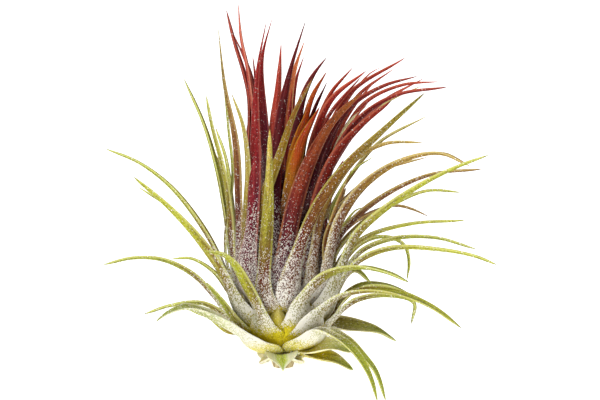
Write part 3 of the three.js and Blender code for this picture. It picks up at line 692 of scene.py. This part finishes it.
def blade_directions(bench, given, share, along):
    """The ways across a blade and out of its back, square to its line and rolled past its sheath."""
    level = bench.vector("DOT_PRODUCT", given["Across"], along)
    square = bench.vector("SUBTRACT", given["Across"], bench.scaled(along, level))
    level_side = bench.vector("NORMALIZE", square)
    level_out = bench.vector("CROSS_PRODUCT", level_side, along)
    roll = bench.times(given["Roll"], bench.eased(share, ROLL_FROM, ROLL_FULL))
    turned = bench.math("COSINE", roll)
    tipped = bench.math("SINE", roll)
    side = bench.vector("ADD", bench.scaled(level_side, turned), bench.scaled(level_out, tipped))
    return side, bench.vector("CROSS_PRODUCT", side, along)


def blade_width(bench, given, share):
    """Width along a blade, as the solids have it, and drawn out to a point at the tip."""
    pinch = bench.eased(share, 0.0, ROOT_SHARE, ROOT_PINCH, 1.0)
    narrowing = bench.eased(share, SHEATH_FROM, SHEATH_SHARE)
    body = bench.mixed(narrowing, given["Sheath Width"], given["Blade Width"])
    taper = bench.eased(share, TAPER_FROM, 1.0, 1.0, TAPER_LEFT)
    width = bench.math("MAXIMUM", bench.times(pinch, body, taper), TIP_WIDTH * MM)
    tip_start = bench.math("SUBTRACT", 1.0, given["Tip Share"])
    drawn_out = bench.eased(share, tip_start, 1.0, 1.0, 0.0, kind="LINEAR")
    return bench.times(width, bench.math("POWER", drawn_out, TIP_TAPER))


def with_stored(bench, shape, values, kind="FLOAT"):
    """A shape with values stored at its corners under their names."""
    for name, value in values.items():
        shape = bench.first("GeometryNodeStoreNamedAttribute", {
            "Geometry": shape, "Name": name, "Value": value}, data_type=kind)
    return shape


def blade_tree():
    """Makes a leaf's closed, channelled blade along its middle line, with its places along and across."""
    bench, given = new_shape_tree("channelled_blade", [
        ("Blade Width", "Float"), ("Sheath Width", "Float"), ("Tip Share", "Float"),
        ("Thickness", "Float"), ("Across", "Vector"), ("Roll", "Float"), ("Leaf Number", "Float"),
        ("Coat", "Float"), ("Bare Root", "Float"), ("Colour Lead", "Float"), ("Sides", "Int"),
        ("Stations", "Int"), ("Blade Finish", "Material")])

    # A tube 1 long and 2 across round the origin gives each corner its place across, its side of the
    # skin and its share of the leaf's length
    tube = bench.node("GeometryNodeMeshCylinder", {
        "Vertices": given["Sides"], "Side Segments": given["Stations"], "Radius": 1.0, "Depth": 1.0,
    }, fill_type="TRIANGLE_FAN")
    corner = bench.first("GeometryNodeInputPosition", {})
    split = bench.node("ShaderNodeSeparateXYZ", {0: corner}).outputs
    place, face = split["X"], split["Y"]
    share = bench.plus(split["Z"], 0.5)

    wire = bench.first("GeometryNodeMeshToCurve", {"Mesh": given["Geometry"]})
    smooth = bench.first("GeometryNodeCurveSplineType", {"Curve": wire}, spline_type="CATMULL_ROM")
    line = bench.node("GeometryNodeSampleCurve", {"Curves": smooth, "Factor": share}, mode="FACTOR")
    side, out = blade_directions(bench, given, share, line.outputs["Tangent"])

    width = blade_width(bench, given, share)
    cupped = bench.eased(share, CHANNEL_FROM, CHANNEL_FULL, SHEATH_CHANNEL, BLADE_CHANNEL)
    thickness = bench.math("MINIMUM", given["Thickness"], bench.times(width, THICKEST_SHARE))
    crown = bench.math("SUBTRACT", CHANNEL_BALANCE, bench.times(place, place))
    raised = bench.plus(bench.times(width, cupped, crown), bench.times(face, 0.5, thickness))
    reach = bench.times(place, 0.5, width)
    spread = bench.vector("ADD", bench.scaled(side, reach), bench.scaled(out, raised))
    moved = bench.vector("ADD", line.outputs["Position"], spread)

    length = bench.first("GeometryNodeCurveLength", {"Curve": smooth})
    far = bench.math("DIVIDE", bench.times(share, length), MM)
    wide = bench.math("DIVIDE", reach, MM)
    sheet = bench.first("ShaderNodeCombineXYZ", {0: far, 1: wide, 2: given["Leaf Number"]})
    shape = with_stored(bench, tube.outputs["Mesh"], {
        "along": bench.plus(share, given["Colour Lead"]), "across": place, "outer": face,
        "coat": given["Coat"], "bare_root": given["Bare Root"]})
    shape = with_stored(bench, shape, {"leaf_place": sheet}, "FLOAT_VECTOR")
    shape = bench.first("GeometryNodeSetPosition", {"Geometry": shape, "Position": moved})
    shape = bench.first("GeometryNodeMergeByDistance", {"Geometry": shape, "Distance": LEAF_WELD * MM})
    shape = bench.first("GeometryNodeSetShadeSmooth", {"Geometry": shape})
    shape = bench.first("GeometryNodeSetMaterial", {"Geometry": shape, "Material": given["Blade Finish"]})
    return end_tree(bench, shape)


def scale_cover(bench, along, across, outer, sheet, bare_root, tip_cover):
    """How much of the skin the scales hide: none at a bare root, most on the sheath and at its margins."""
    from_root = bench.node("ShaderNodeSeparateXYZ", {0: sheet}).outputs["X"]
    lower = bench.eased(along, THICK_TO, HALF_AT, THICK_COVER, HALF_COVER)
    bare = bench.times(bare_root, bench.eased(from_root, BARE_TO, BARE_ENDS, 1.0, 0.0))
    lower = bench.times(lower, bench.math("SUBTRACT", 1.0, bare))
    upper = bench.eased(along, HALF_AT, THIN_FROM, 1.0, 0.0)
    rest = bench.times(tip_cover, bench.math("SUBTRACT", 1.0, upper))
    cover = bench.plus(bench.times(lower, upper), rest)
    margin = bench.times(across, across, MARGIN_EXTRA)
    cover = bench.times(cover, bench.plus(1.0, margin))
    return bench.times(cover, bench.eased(outer, *COVER_TURNS, INSIDE_SHARE, 1.0))


def scale_tree():
    """Lays tiny diamond scales over a blade or bud, thick on the sheath and margins and then thinner."""
    bench, given = new_shape_tree("scale_coat", [
        ("Scales Per Area", "Float"), ("Scale Length", "Float"), ("Scale Width", "Float"),
        ("Lift", "Float"), ("Tilt", "Float"), ("Tip Cover", "Float"), ("Seed", "Int"),
        ("Scale Finish", "Material")])
    blade = given["Geometry"]

    def stored(name, kind="FLOAT"):
        return bench.first("GeometryNodeInputNamedAttribute", {"Name": name}, data_type=kind)

    along, across, outer = stored("along"), stored("across"), stored("outer")
    sheet = stored("leaf_place", "FLOAT_VECTOR")
    cover = scale_cover(bench, along, across, outer, sheet, stored("bare_root"), given["Tip Cover"])
    outside = bench.eased(outer, *SCALES_TURN)
    shown = bench.math("MAXIMUM", outside, bench.eased(along, INSIDE_FROM, INSIDE_FULL))
    density = bench.times(cover, stored("coat"), shown, given["Scales Per Area"])
    spots = bench.node("GeometryNodeDistributePointsOnFaces", {
        "Mesh": blade, "Density": density, "Seed": given["Seed"],
    }, distribute_method="RANDOM")
    diamond = bench.first("GeometryNodeMeshCircle", {"Vertices": 4, "Radius": 0.5}, fill_type="NGON")
    shape = bench.first("ShaderNodeCombineXYZ", {0: given["Scale Length"], 1: given["Scale Width"], 2: 1.0})
    flake = bench.first("GeometryNodeTransform", {"Geometry": diamond, "Scale": shape})
    lean = bench.first("ShaderNodeCombineXYZ", {0: given["Tilt"], 1: given["Tilt"], 2: math.pi})
    turn = bench.first("FunctionNodeRandomValue", {
        0: bench.scaled(lean, -1.0), 1: lean, "Seed": given["Seed"],
    }, data_type="FLOAT_VECTOR")
    turn = bench.first("FunctionNodeEulerToRotation", {0: turn})
    turn = bench.first("FunctionNodeRotateRotation", {
        0: spots.outputs["Rotation"], 1: turn}, rotation_space="LOCAL")
    size = bench.node("FunctionNodeRandomValue", {
        2: LEAST_SCALE, 3: LARGEST_SCALE, "Seed": given["Seed"],
    }, data_type="FLOAT").outputs[1]
    flakes = bench.first("GeometryNodeInstanceOnPoints", {
        "Points": spots.outputs["Points"], "Instance": flake, "Rotation": turn, "Scale": size})
    lift = bench.first("ShaderNodeCombineXYZ", {2: given["Lift"]})
    flakes = bench.first("GeometryNodeTranslateInstances", {
        "Instances": flakes, "Translation": lift, "Local Space": True})
    flakes = bench.first("GeometryNodeRealizeInstances", {"Geometry": flakes})
    flakes = bench.first("GeometryNodeSetMaterial", {
        "Geometry": flakes, "Material": given["Scale Finish"]})
    both = bench.node("GeometryNodeJoinGeometry", {0: blade})
    bench.feed(both, {0: flakes})
    return end_tree(bench, both.outputs[0])


def with_tree(thing, tree, **sizes):
    """Puts a tree on an object and sets the tree's named sizes, an underline for each space."""
    modifier = thing.modifiers.new(tree.name, "NODES")
    modifier.node_group = tree
    for item in tree.interface.items_tree:
        key = item.name.replace(" ", "_").lower()
        if item.in_out == "INPUT" and key in sizes:
            modifier[item.identifier] = sizes.pop(key)
    if sizes:
        raise ValueError(f"{tree.name} has no input for {sorted(sizes)}")


def settled(thing, name):
    """A plain mesh piece from an object and its trees, in place of that object."""
    ready = bpy.context.evaluated_depsgraph_get()
    ready.update()
    shape = bpy.data.meshes.new_from_object(
        thing.evaluated_get(ready), preserve_all_data_layers=True, depsgraph=ready)
    shape.name = name
    piece = link(bpy.data.objects.new(name, shape))
    wire = thing.data
    bpy.data.objects.remove(thing)
    bpy.data.meshes.remove(wire)
    return piece


def tint(red, green, blue):
    """A screen colour, from 0 to 255, as the even light that the shader wants, by the usual sRGB curve."""
    def light(level):
        level /= 255
        return level / 12.92 if level <= 0.04045 else ((level + 0.055) / 1.055) ** 2.4
    return (light(red), light(green), light(blue), 1.0)


# Each finish: the colour under the scales on the leaf's sheath, in its throat, on its blade, at its tip
# and along its margins, then how much of its blade the scales cover
FINISHES = {
    "papery": ((228, 222, 190), (222, 216, 178), (206, 204, 140), (150, 162, 72), (242, 238, 216), 0.4),
    "white_green": ((206, 204, 180), (196, 198, 146), (160, 166, 72), (156, 168, 66), (228, 230, 188), 0.2),
    "green_tongue": ((236, 234, 206), (214, 216, 150), (144, 182, 44), (128, 166, 40), (246, 244, 232), 0.1),
    "yellow_base": ((210, 194, 48), (198, 182, 66), (190, 176, 88), (198, 188, 116), (222, 210, 110), 0.1),
    "deep_green": ((206, 200, 150), (110, 92, 24), (176, 172, 78), (164, 182, 56), (212, 208, 146), 0.02),
    "green": ((162, 156, 92), (126, 98, 50), (158, 164, 52), (162, 170, 66), (222, 224, 136), 0.04),
    "lime": ((162, 156, 84), (138, 112, 50), (178, 180, 52), (176, 182, 66), (226, 226, 134), 0.04),
    "olive": ((204, 200, 140), (154, 150, 70), (182, 192, 56), (182, 190, 64), (220, 220, 130), 0.05),
    "pale_green": ((230, 226, 190), (216, 212, 158), (206, 206, 134), (156, 168, 66), (238, 236, 200), 0.1),
    "pale_lime": ((208, 200, 142), (160, 136, 70), (196, 196, 88), (194, 198, 90), (232, 232, 154), 0.04),
    "bronze": ((150, 124, 92), (104, 56, 44), (136, 86, 38), (146, 122, 52), (206, 178, 112), 0.04),
    "brown": ((146, 118, 90), (102, 50, 42), (130, 84, 38), (148, 112, 50), (208, 184, 112), 0.04),
    "tan": ((162, 134, 98), (116, 68, 48), (172, 134, 58), (190, 162, 74), (226, 206, 138), 0.05),
    "olive_tipped": ((146, 112, 94), (100, 44, 44), (140, 88, 46), (168, 160, 84), (206, 180, 112), 0.03),
    "green_over_rust": ((150, 128, 90), (116, 56, 40), (156, 148, 54), (172, 176, 70), (214, 214, 130), 0.04),
    "russet_red": ((132, 96, 88), (90, 30, 38), (124, 32, 24), (158, 48, 32), (198, 106, 76), 0.02),
    "straw": ((168, 148, 100), (130, 94, 52), (170, 152, 70), (188, 174, 88), (224, 216, 150), 0.05),
    "cream": ((208, 192, 146), (206, 184, 130), (240, 226, 166), (224, 206, 130), (248, 240, 206), 0.1),
    "olive_front": ((124, 92, 76), (106, 42, 34), (140, 94, 34), (156, 150, 52), (192, 184, 88), 0.04),
    "lime_front": ((134, 104, 78), (104, 50, 38), (164, 156, 52), (216, 190, 92), (190, 188, 84), 0.05),
    "copper": ((112, 76, 78), (90, 32, 44), (134, 44, 28), (172, 98, 42), (190, 116, 76), 0.015),
    "olive_gold": ((140, 112, 84), (112, 60, 38), (158, 134, 38), (150, 88, 36), (206, 192, 104), 0.04),
    "crimson": ((132, 96, 98), (104, 34, 50), (148, 34, 36), (174, 46, 42), (206, 112, 96), 0.02),
    "maroon": ((118, 78, 80), (84, 24, 38), (88, 18, 24), (112, 28, 28), (164, 70, 60), 0.01),
    "dark_red": ((124, 84, 82), (90, 26, 36), (122, 26, 24), (156, 42, 36), (194, 96, 74), 0.01),
    "scarlet": ((134, 90, 78), (122, 36, 32), (160, 36, 26), (186, 56, 44), (214, 114, 84), 0.01),
    "rose": ((178, 140, 120), (158, 64, 52), (184, 68, 52), (196, 80, 66), (226, 148, 122), 0.01),
    "pale_orange": ((192, 162, 120), (194, 118, 66), (218, 132, 68), (208, 102, 56), (242, 196, 150), 0.04),
    # The amber finish is partly the leaf's own orange and partly a painted glow of light shining through the
    # leaf from behind
    "amber": ((176, 136, 46), (182, 112, 18), (194, 98, 10), (160, 48, 16), (226, 150, 50), 0.01),
    "flame": ((122, 76, 36), (168, 108, 24), (184, 76, 24), (160, 38, 26), (198, 144, 36), 0.01),
    "rust": ((162, 124, 76), (150, 64, 22), (192, 76, 12), (172, 58, 18), (220, 130, 62), 0.015),
}
ROOT_YELLOW = (222, 206, 36)
ROOT_COLOURS = {"green_tongue": (196, 208, 76), "papery": (232, 226, 196)}

# Where the colours lie along a leaf, and how far its margins keep the sheath's colour
SHEATH_TO = 0.22
THROAT_AT = 0.36
BLADE_AT = 0.60
MARGIN_LAG = 0.20
COLOUR_WANDER = 0.16

# How much veins and flat scales raise the skin, and the strength and height of its relief in millimetres.
# Then its roughness at two places along the leaf, its gloss, and the light that goes into it.
VEIN_RELIEF = 0.6
SCALE_RELIEF = 0.5
SKIN_RELIEF = (0.6, 0.12)
SKIN_ROUGHNESS = (0.3, 0.9, 0.72, 0.46)
LEAF_GLOSS = 0.12
LIGHT_INSIDE = 0.12
LIGHT_COLOURS = (1.0, 0.6, 0.3)
LIGHT_DEPTH = 1.0

# The dry scales and the fibrous stem: their darkest and palest colour, and their surface
SCALE_COLOURS = ((206, 200, 178), (246, 245, 240))
SCALE_ROUGHNESS = 0.5
SCALE_GLOSS = 0.4
STEM_COLOURS = ((146, 124, 84), (218, 204, 162))
STEM_FIBRES_PER_MM = 1.4
STEM_FIBRE_STRETCH = (1.0, 1.0, 0.25)
STEM_FIBRE_DETAIL = 4.0
STEM_FIBRE_LEVELS = (0.35, 0.65)
STEM_RELIEF = (0.7, 0.3)
STEM_ROUGHNESS = 0.85

# How thick the coat of scales is on each zone's leaves, and on the leaves of some finishes
COATS = {"low": 1.3, "outer": 1.1, "middle": 0.9, "upright": 0.85, "heart": 0.15, "slight": 0.7}
THIN_COATS = {"yellow_base": 0.1, "green_tongue": 0.8}

# How yellow the roots are in some zones, and how much sooner along its leaves the colours come
BARE_ROOTS = {"low": 0.8, "heart": 0.0}
COLOUR_LEADS = {"upright": 0.05}


def colour_ramp(bench, share, stops):
    """Colours along a leaf, from (place, colour) stops in rising order."""
    ramp = bench.node("ShaderNodeValToRGB", {0: share})
    elements = ramp.color_ramp.elements
    while len(elements) < len(stops):
        elements.new(0.5)
    for element, (place, colour) in zip(elements, stops):
        element.position = place
        element.color = tint(*colour)
    return ramp.outputs["Color"]


def new_finish(name):
    """A new material, with its bench and its shader."""
    paint = bpy.data.materials.new(name)
    paint.use_nodes = True
    return paint, Bench(paint.node_tree), paint.node_tree.nodes["Principled BSDF"]


def stored_value(bench, name):
    return bench.node("ShaderNodeAttribute", {}, attribute_name=name).outputs["Fac"]


def leaf_sheet(bench):
    """The place on the leaf laid flat: millimetres from its root and from its middle, and its number."""
    return bench.node("ShaderNodeAttribute", {}, attribute_name="leaf_place").outputs["Vector"]


def pattern(bench, stretch, scale):
    """Cloudy noise on the leaf's own sheet, stretched along it."""
    place = bench.vector("MULTIPLY", leaf_sheet(bench), (1.0 / stretch, 1.0, SHEETS_APART))
    cloud = bench.node("ShaderNodeTexNoise", {"Vector": place, "Scale": scale, "Detail": PATTERN_DETAIL})
    return cloud.outputs["Fac"]


def raised_skin(bench, height, strength, most):
    """Ridges and dents in a skin, the highest this many millimetres."""
    return bench.first("ShaderNodeBump", {"Strength": strength, "Distance": most * MM, "Height": height})


def skin_colour(bench, name, colours, along, across, reach, cloud, bare, veins):
    """A leaf's own colours: from root to tip, then veins, shadows and mottles, and pale margins."""
    sheath, throat, blade, tip, margin = colours
    colour = colour_ramp(bench, reach, [
        (SHEATH_TO, sheath), (THROAT_AT, throat), (BLADE_AT, blade), (1.0, tip)])
    colour = bench.tinted(bare, colour, tint(*ROOT_COLOURS.get(name, ROOT_YELLOW)))
    colour = bench.tinted(bench.eased(veins, *VEIN_STRENGTH), colour, tint(*margin))
    shadow = bench.eased(pattern(bench, *SHADOWS), *SHADOW_STRENGTH)
    colour = bench.tinted(shadow, colour, tint(*[level * SHADOW_LIGHT for level in blade]))
    mottle = bench.eased(pattern(bench, *MOTTLES), *MOTTLE_STRENGTH)
    colour = bench.tinted(mottle, colour, tint(*throat), "MULTIPLY")
    brink = bench.plus(bench.math("ABSOLUTE", across), bench.times(cloud, RIM_WANDER))
    rim = bench.times(bench.eased(brink, *WIDE_RIMS.get(name, RIM), 0.0, RIM_STRENGTH),
                      bench.eased(along, SHEATH_TO, THROAT_AT))
    return bench.tinted(rim, colour, tint(*margin))


def flat_scales(bench, sheet, cover):
    """Where the skin shows a flat scale: in the cells whose chance falls under the cover."""
    place = bench.vector("MULTIPLY", sheet, (SCALE_STRETCH, 1.0, SHEETS_APART))
    cells = bench.node("ShaderNodeTexVoronoi", {"Vector": place, "Scale": FLAT_SCALES_PER_MM})
    chance = bench.first("ShaderNodeSeparateColor", {0: cells.outputs["Color"]})
    return bench.eased(bench.math("SUBTRACT", cover, chance), -SCALE_EDGE, SCALE_EDGE, 0.0, SCALE_STRENGTH)


def leaf_finish(name, finish):
    """The leaf's own colours under a coat of flat white scales, on a skin with fine veins."""
    *colours, blade_cover = finish
    paint, bench, skin = new_finish(name)
    stored = ("along", "across", "outer", "coat", "bare_root")
    along, across, outer, coat, bare_root = [stored_value(bench, value) for value in stored]
    sheet = leaf_sheet(bench)

    lag = bench.times(across, across, MARGIN_LAG)
    cloud = bench.math("SUBTRACT", pattern(bench, *CLOUDS), 0.5)
    reach = bench.plus(bench.math("SUBTRACT", along, lag), bench.times(cloud, COLOUR_WANDER))
    from_root = bench.node("ShaderNodeSeparateXYZ", {0: sheet}).outputs["X"]
    from_root = bench.plus(from_root, bench.times(cloud, BARE_WANDER))
    bare = bench.times(bench.eased(from_root, BARE_TO, BARE_ENDS, 1.0, 0.0), bare_root)
    veins = pattern(bench, *VEINS)
    colour = skin_colour(bench, name, colours, along, across, reach, cloud, bare, veins)
    cover = scale_cover(bench, bench.plus(reach, lag), across, outer, sheet, bare_root, blade_cover)
    lit = flat_scales(bench, sheet, bench.times(cover, coat))
    height = bench.plus(bench.times(veins, VEIN_RELIEF), bench.times(lit, SCALE_RELIEF))
    bench.feed(skin, {
        "Base Color": bench.tinted(lit, colour, tint(*SCALE_SILVER)),
        "Normal": raised_skin(bench, height, *SKIN_RELIEF),
        "Roughness": bench.eased(reach, *SKIN_ROUGHNESS),
        "Subsurface Weight": LIGHT_INSIDE,
        "Subsurface Radius": LIGHT_COLOURS,
        "Subsurface Scale": LIGHT_DEPTH * MM,
        "Specular IOR Level": LEAF_GLOSS})
    return paint


def scale_finish():
    """The dry silver of the scales, some whiter than others."""
    paint, bench, skin = new_finish("silver_scales")
    chance = bench.node("ShaderNodeTexWhiteNoise", {"Vector": leaf_sheet(bench)}).outputs["Value"]
    bench.feed(skin, {
        "Base Color": bench.tinted(chance, *[tint(*colour) for colour in SCALE_COLOURS]),
        "Roughness": SCALE_ROUGHNESS,
        "Specular IOR Level": SCALE_GLOSS})
    return paint


def stem_finish():
    """Fibrous straw brown."""
    paint, bench, skin = new_finish("stem_fibre")
    place = bench.node("ShaderNodeTexCoord", {}).outputs["Object"]
    fibres = bench.node("ShaderNodeTexNoise", {
        "Vector": bench.vector("MULTIPLY", place, STEM_FIBRE_STRETCH),
        "Scale": STEM_FIBRES_PER_MM / MM, "Detail": STEM_FIBRE_DETAIL}).outputs["Fac"]
    light = bench.eased(fibres, *STEM_FIBRE_LEVELS)
    bench.feed(skin, {
        "Base Color": bench.tinted(light, *[tint(*colour) for colour in STEM_COLOURS]),
        "Normal": raised_skin(bench, fibres, *STEM_RELIEF),
        "Roughness": STEM_ROUGHNESS})
    return paint


def lay_scales(thing, number):
    """Gives a blade or bud its coat of scales."""
    with_tree(
        thing, SCALES, scales_per_area=SCALES_PER_SQUARE_MM / MM ** 2, scale_length=SCALE_LENGTH * MM,
        scale_width=SCALE_WIDTH * MM, lift=SCALE_LIFT * MM, tilt=SCALE_TILT,
        tip_cover=TIP_COVER, seed=number, scale_finish=SCALE_PAINT)


def grown_leaf(leaf, number):
    """One finished leaf, from its middle line: its blade, then its coat of scales."""
    wire = bpy.data.meshes.new("line")
    points = [tuple(point * MM) for point in leaf["line"]]
    wire.from_pydata(points, [(k, k + 1) for k in range(DENSE_STEPS)], [])
    thing = link(bpy.data.objects.new("line", wire))
    with_tree(
        thing, BLADE, blade_width=leaf["blade"] * MM, sheath_width=leaf["sheath"] * MM,
        tip_share=leaf["tip_share"], thickness=LEAF_THICKNESS * MM,
        across=tuple(across_blade(leaf["facing"])), roll=math.radians(ROLLS.get(leaf["name"], 0)),
        leaf_number=float(number), coat=COATS[leaf["zone"]] * THIN_COATS.get(leaf["finish"], 1.0),
        bare_root=BARE_ROOTS.get(leaf["zone"], 1.0), colour_lead=COLOUR_LEADS.get(leaf["zone"], 0.0),
        sides=LEAF_SIDES, stations=LEAF_STATIONS, blade_finish=LEAF_PAINTS[leaf["finish"]])
    lay_scales(thing, number)
    return settled(thing, leaf["name"].replace("leaf", "blade"))


def bud_mesh():
    """The heart's youngest leaves, rolled round each other into a closed spindle."""
    side = np.array((1, 0, 0))
    front = np.cross(STEM_AXIS, side)
    middle = STEM_AXIS * (BUD_BOTTOM + BUD_TOP) / 2 + side * HEART_SHIFT
    half = (BUD_TOP - BUD_BOTTOM) / 2
    points, places = [], []
    for band in range(BUD_BANDS + 1):
        share = band / BUD_BANDS
        height = -math.cos(math.pi * share) * half
        for corner in range(BUD_SIDES):
            turn = math.tau * (corner / BUD_SIDES + share * BUD_TWIST)
            lap = corner * BUD_LEAVES / BUD_SIDES % 1
            radius = BUD_RADIUS * math.sin(math.pi * share) * (1 - BUD_LAP * lap)
            away = side * math.cos(turn) + front * math.sin(turn)
            points.append(middle + STEM_AXIS * height + away * radius)
            places.append((share, 2 * lap - 1, height + half, math.tau * radius * corner / BUD_SIDES))
    faces = []
    for band in range(BUD_BANDS):
        for corner in range(BUD_SIDES):
            low, high = band * BUD_SIDES, (band + 1) * BUD_SIDES
            after = (corner + 1) % BUD_SIDES
            faces.append((low + corner, low + after, high + after, high + corner))
    return points, places, faces


def grown_bud(number):
    """The bud at the heart, with a leaf's stored places, so that it takes a leaf's finish and scales."""
    points, places, faces = bud_mesh()
    shape = bpy.data.meshes.new("bud")
    shape.from_pydata([tuple(point * MM) for point in points], [], faces)
    values = {
        "along": [mix(SHEATH_TO, BLADE_AT, share) for share, *_ in places],
        "across": [lap for _, lap, *_ in places],
        "outer": [1.0] * len(places),
        "coat": [COATS["upright"]] * len(places),
        "bare_root": [0.0] * len(places),
    }
    for name, at_points in values.items():
        shape.attributes.new(name, "FLOAT", "POINT").data.foreach_set("value", at_points)
    sheet = [value for _, _, far, wide in places for value in (far, wide, number)]
    shape.attributes.new("leaf_place", "FLOAT_VECTOR", "POINT").data.foreach_set("vector", sheet)
    shape.materials.append(LEAF_PAINTS["maroon"])
    for face in shape.polygons:
        face.use_smooth = True
    weld = bmesh.new()
    weld.from_mesh(shape)
    bmesh.ops.remove_doubles(weld, verts=weld.verts, dist=BUD_WELD * MM)
    bmesh.ops.recalc_face_normals(weld, faces=weld.faces)
    weld.to_mesh(shape)
    weld.free()
    thing = link(bpy.data.objects.new("bud", shape))
    lay_scales(thing, number)
    return settled(thing, "heart_bud")


LEAF_PAINTS = {name: leaf_finish(name, colours) for name, colours in FINISHES.items()}
SCALE_PAINT = scale_finish()
BLADE = blade_tree()
SCALES = scale_tree()

all_leaves = outer_leaves + heart_leaves + slight_leaves
for number, leaf in enumerate(all_leaves, 1):
    grown = grown_leaf(leaf, number)
    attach(grown, "root")
    if leaf["zone"] != "slight":
        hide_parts("heart_leaves" if leaf["zone"] == "heart" else leaf["name"])

bud = grown_bud(len(all_leaves) + 1)
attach(bud, "root")
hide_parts("heart_leaves")

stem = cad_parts["stem"]
stem.data.materials.clear()
stem.data.materials.append(stem_finish())
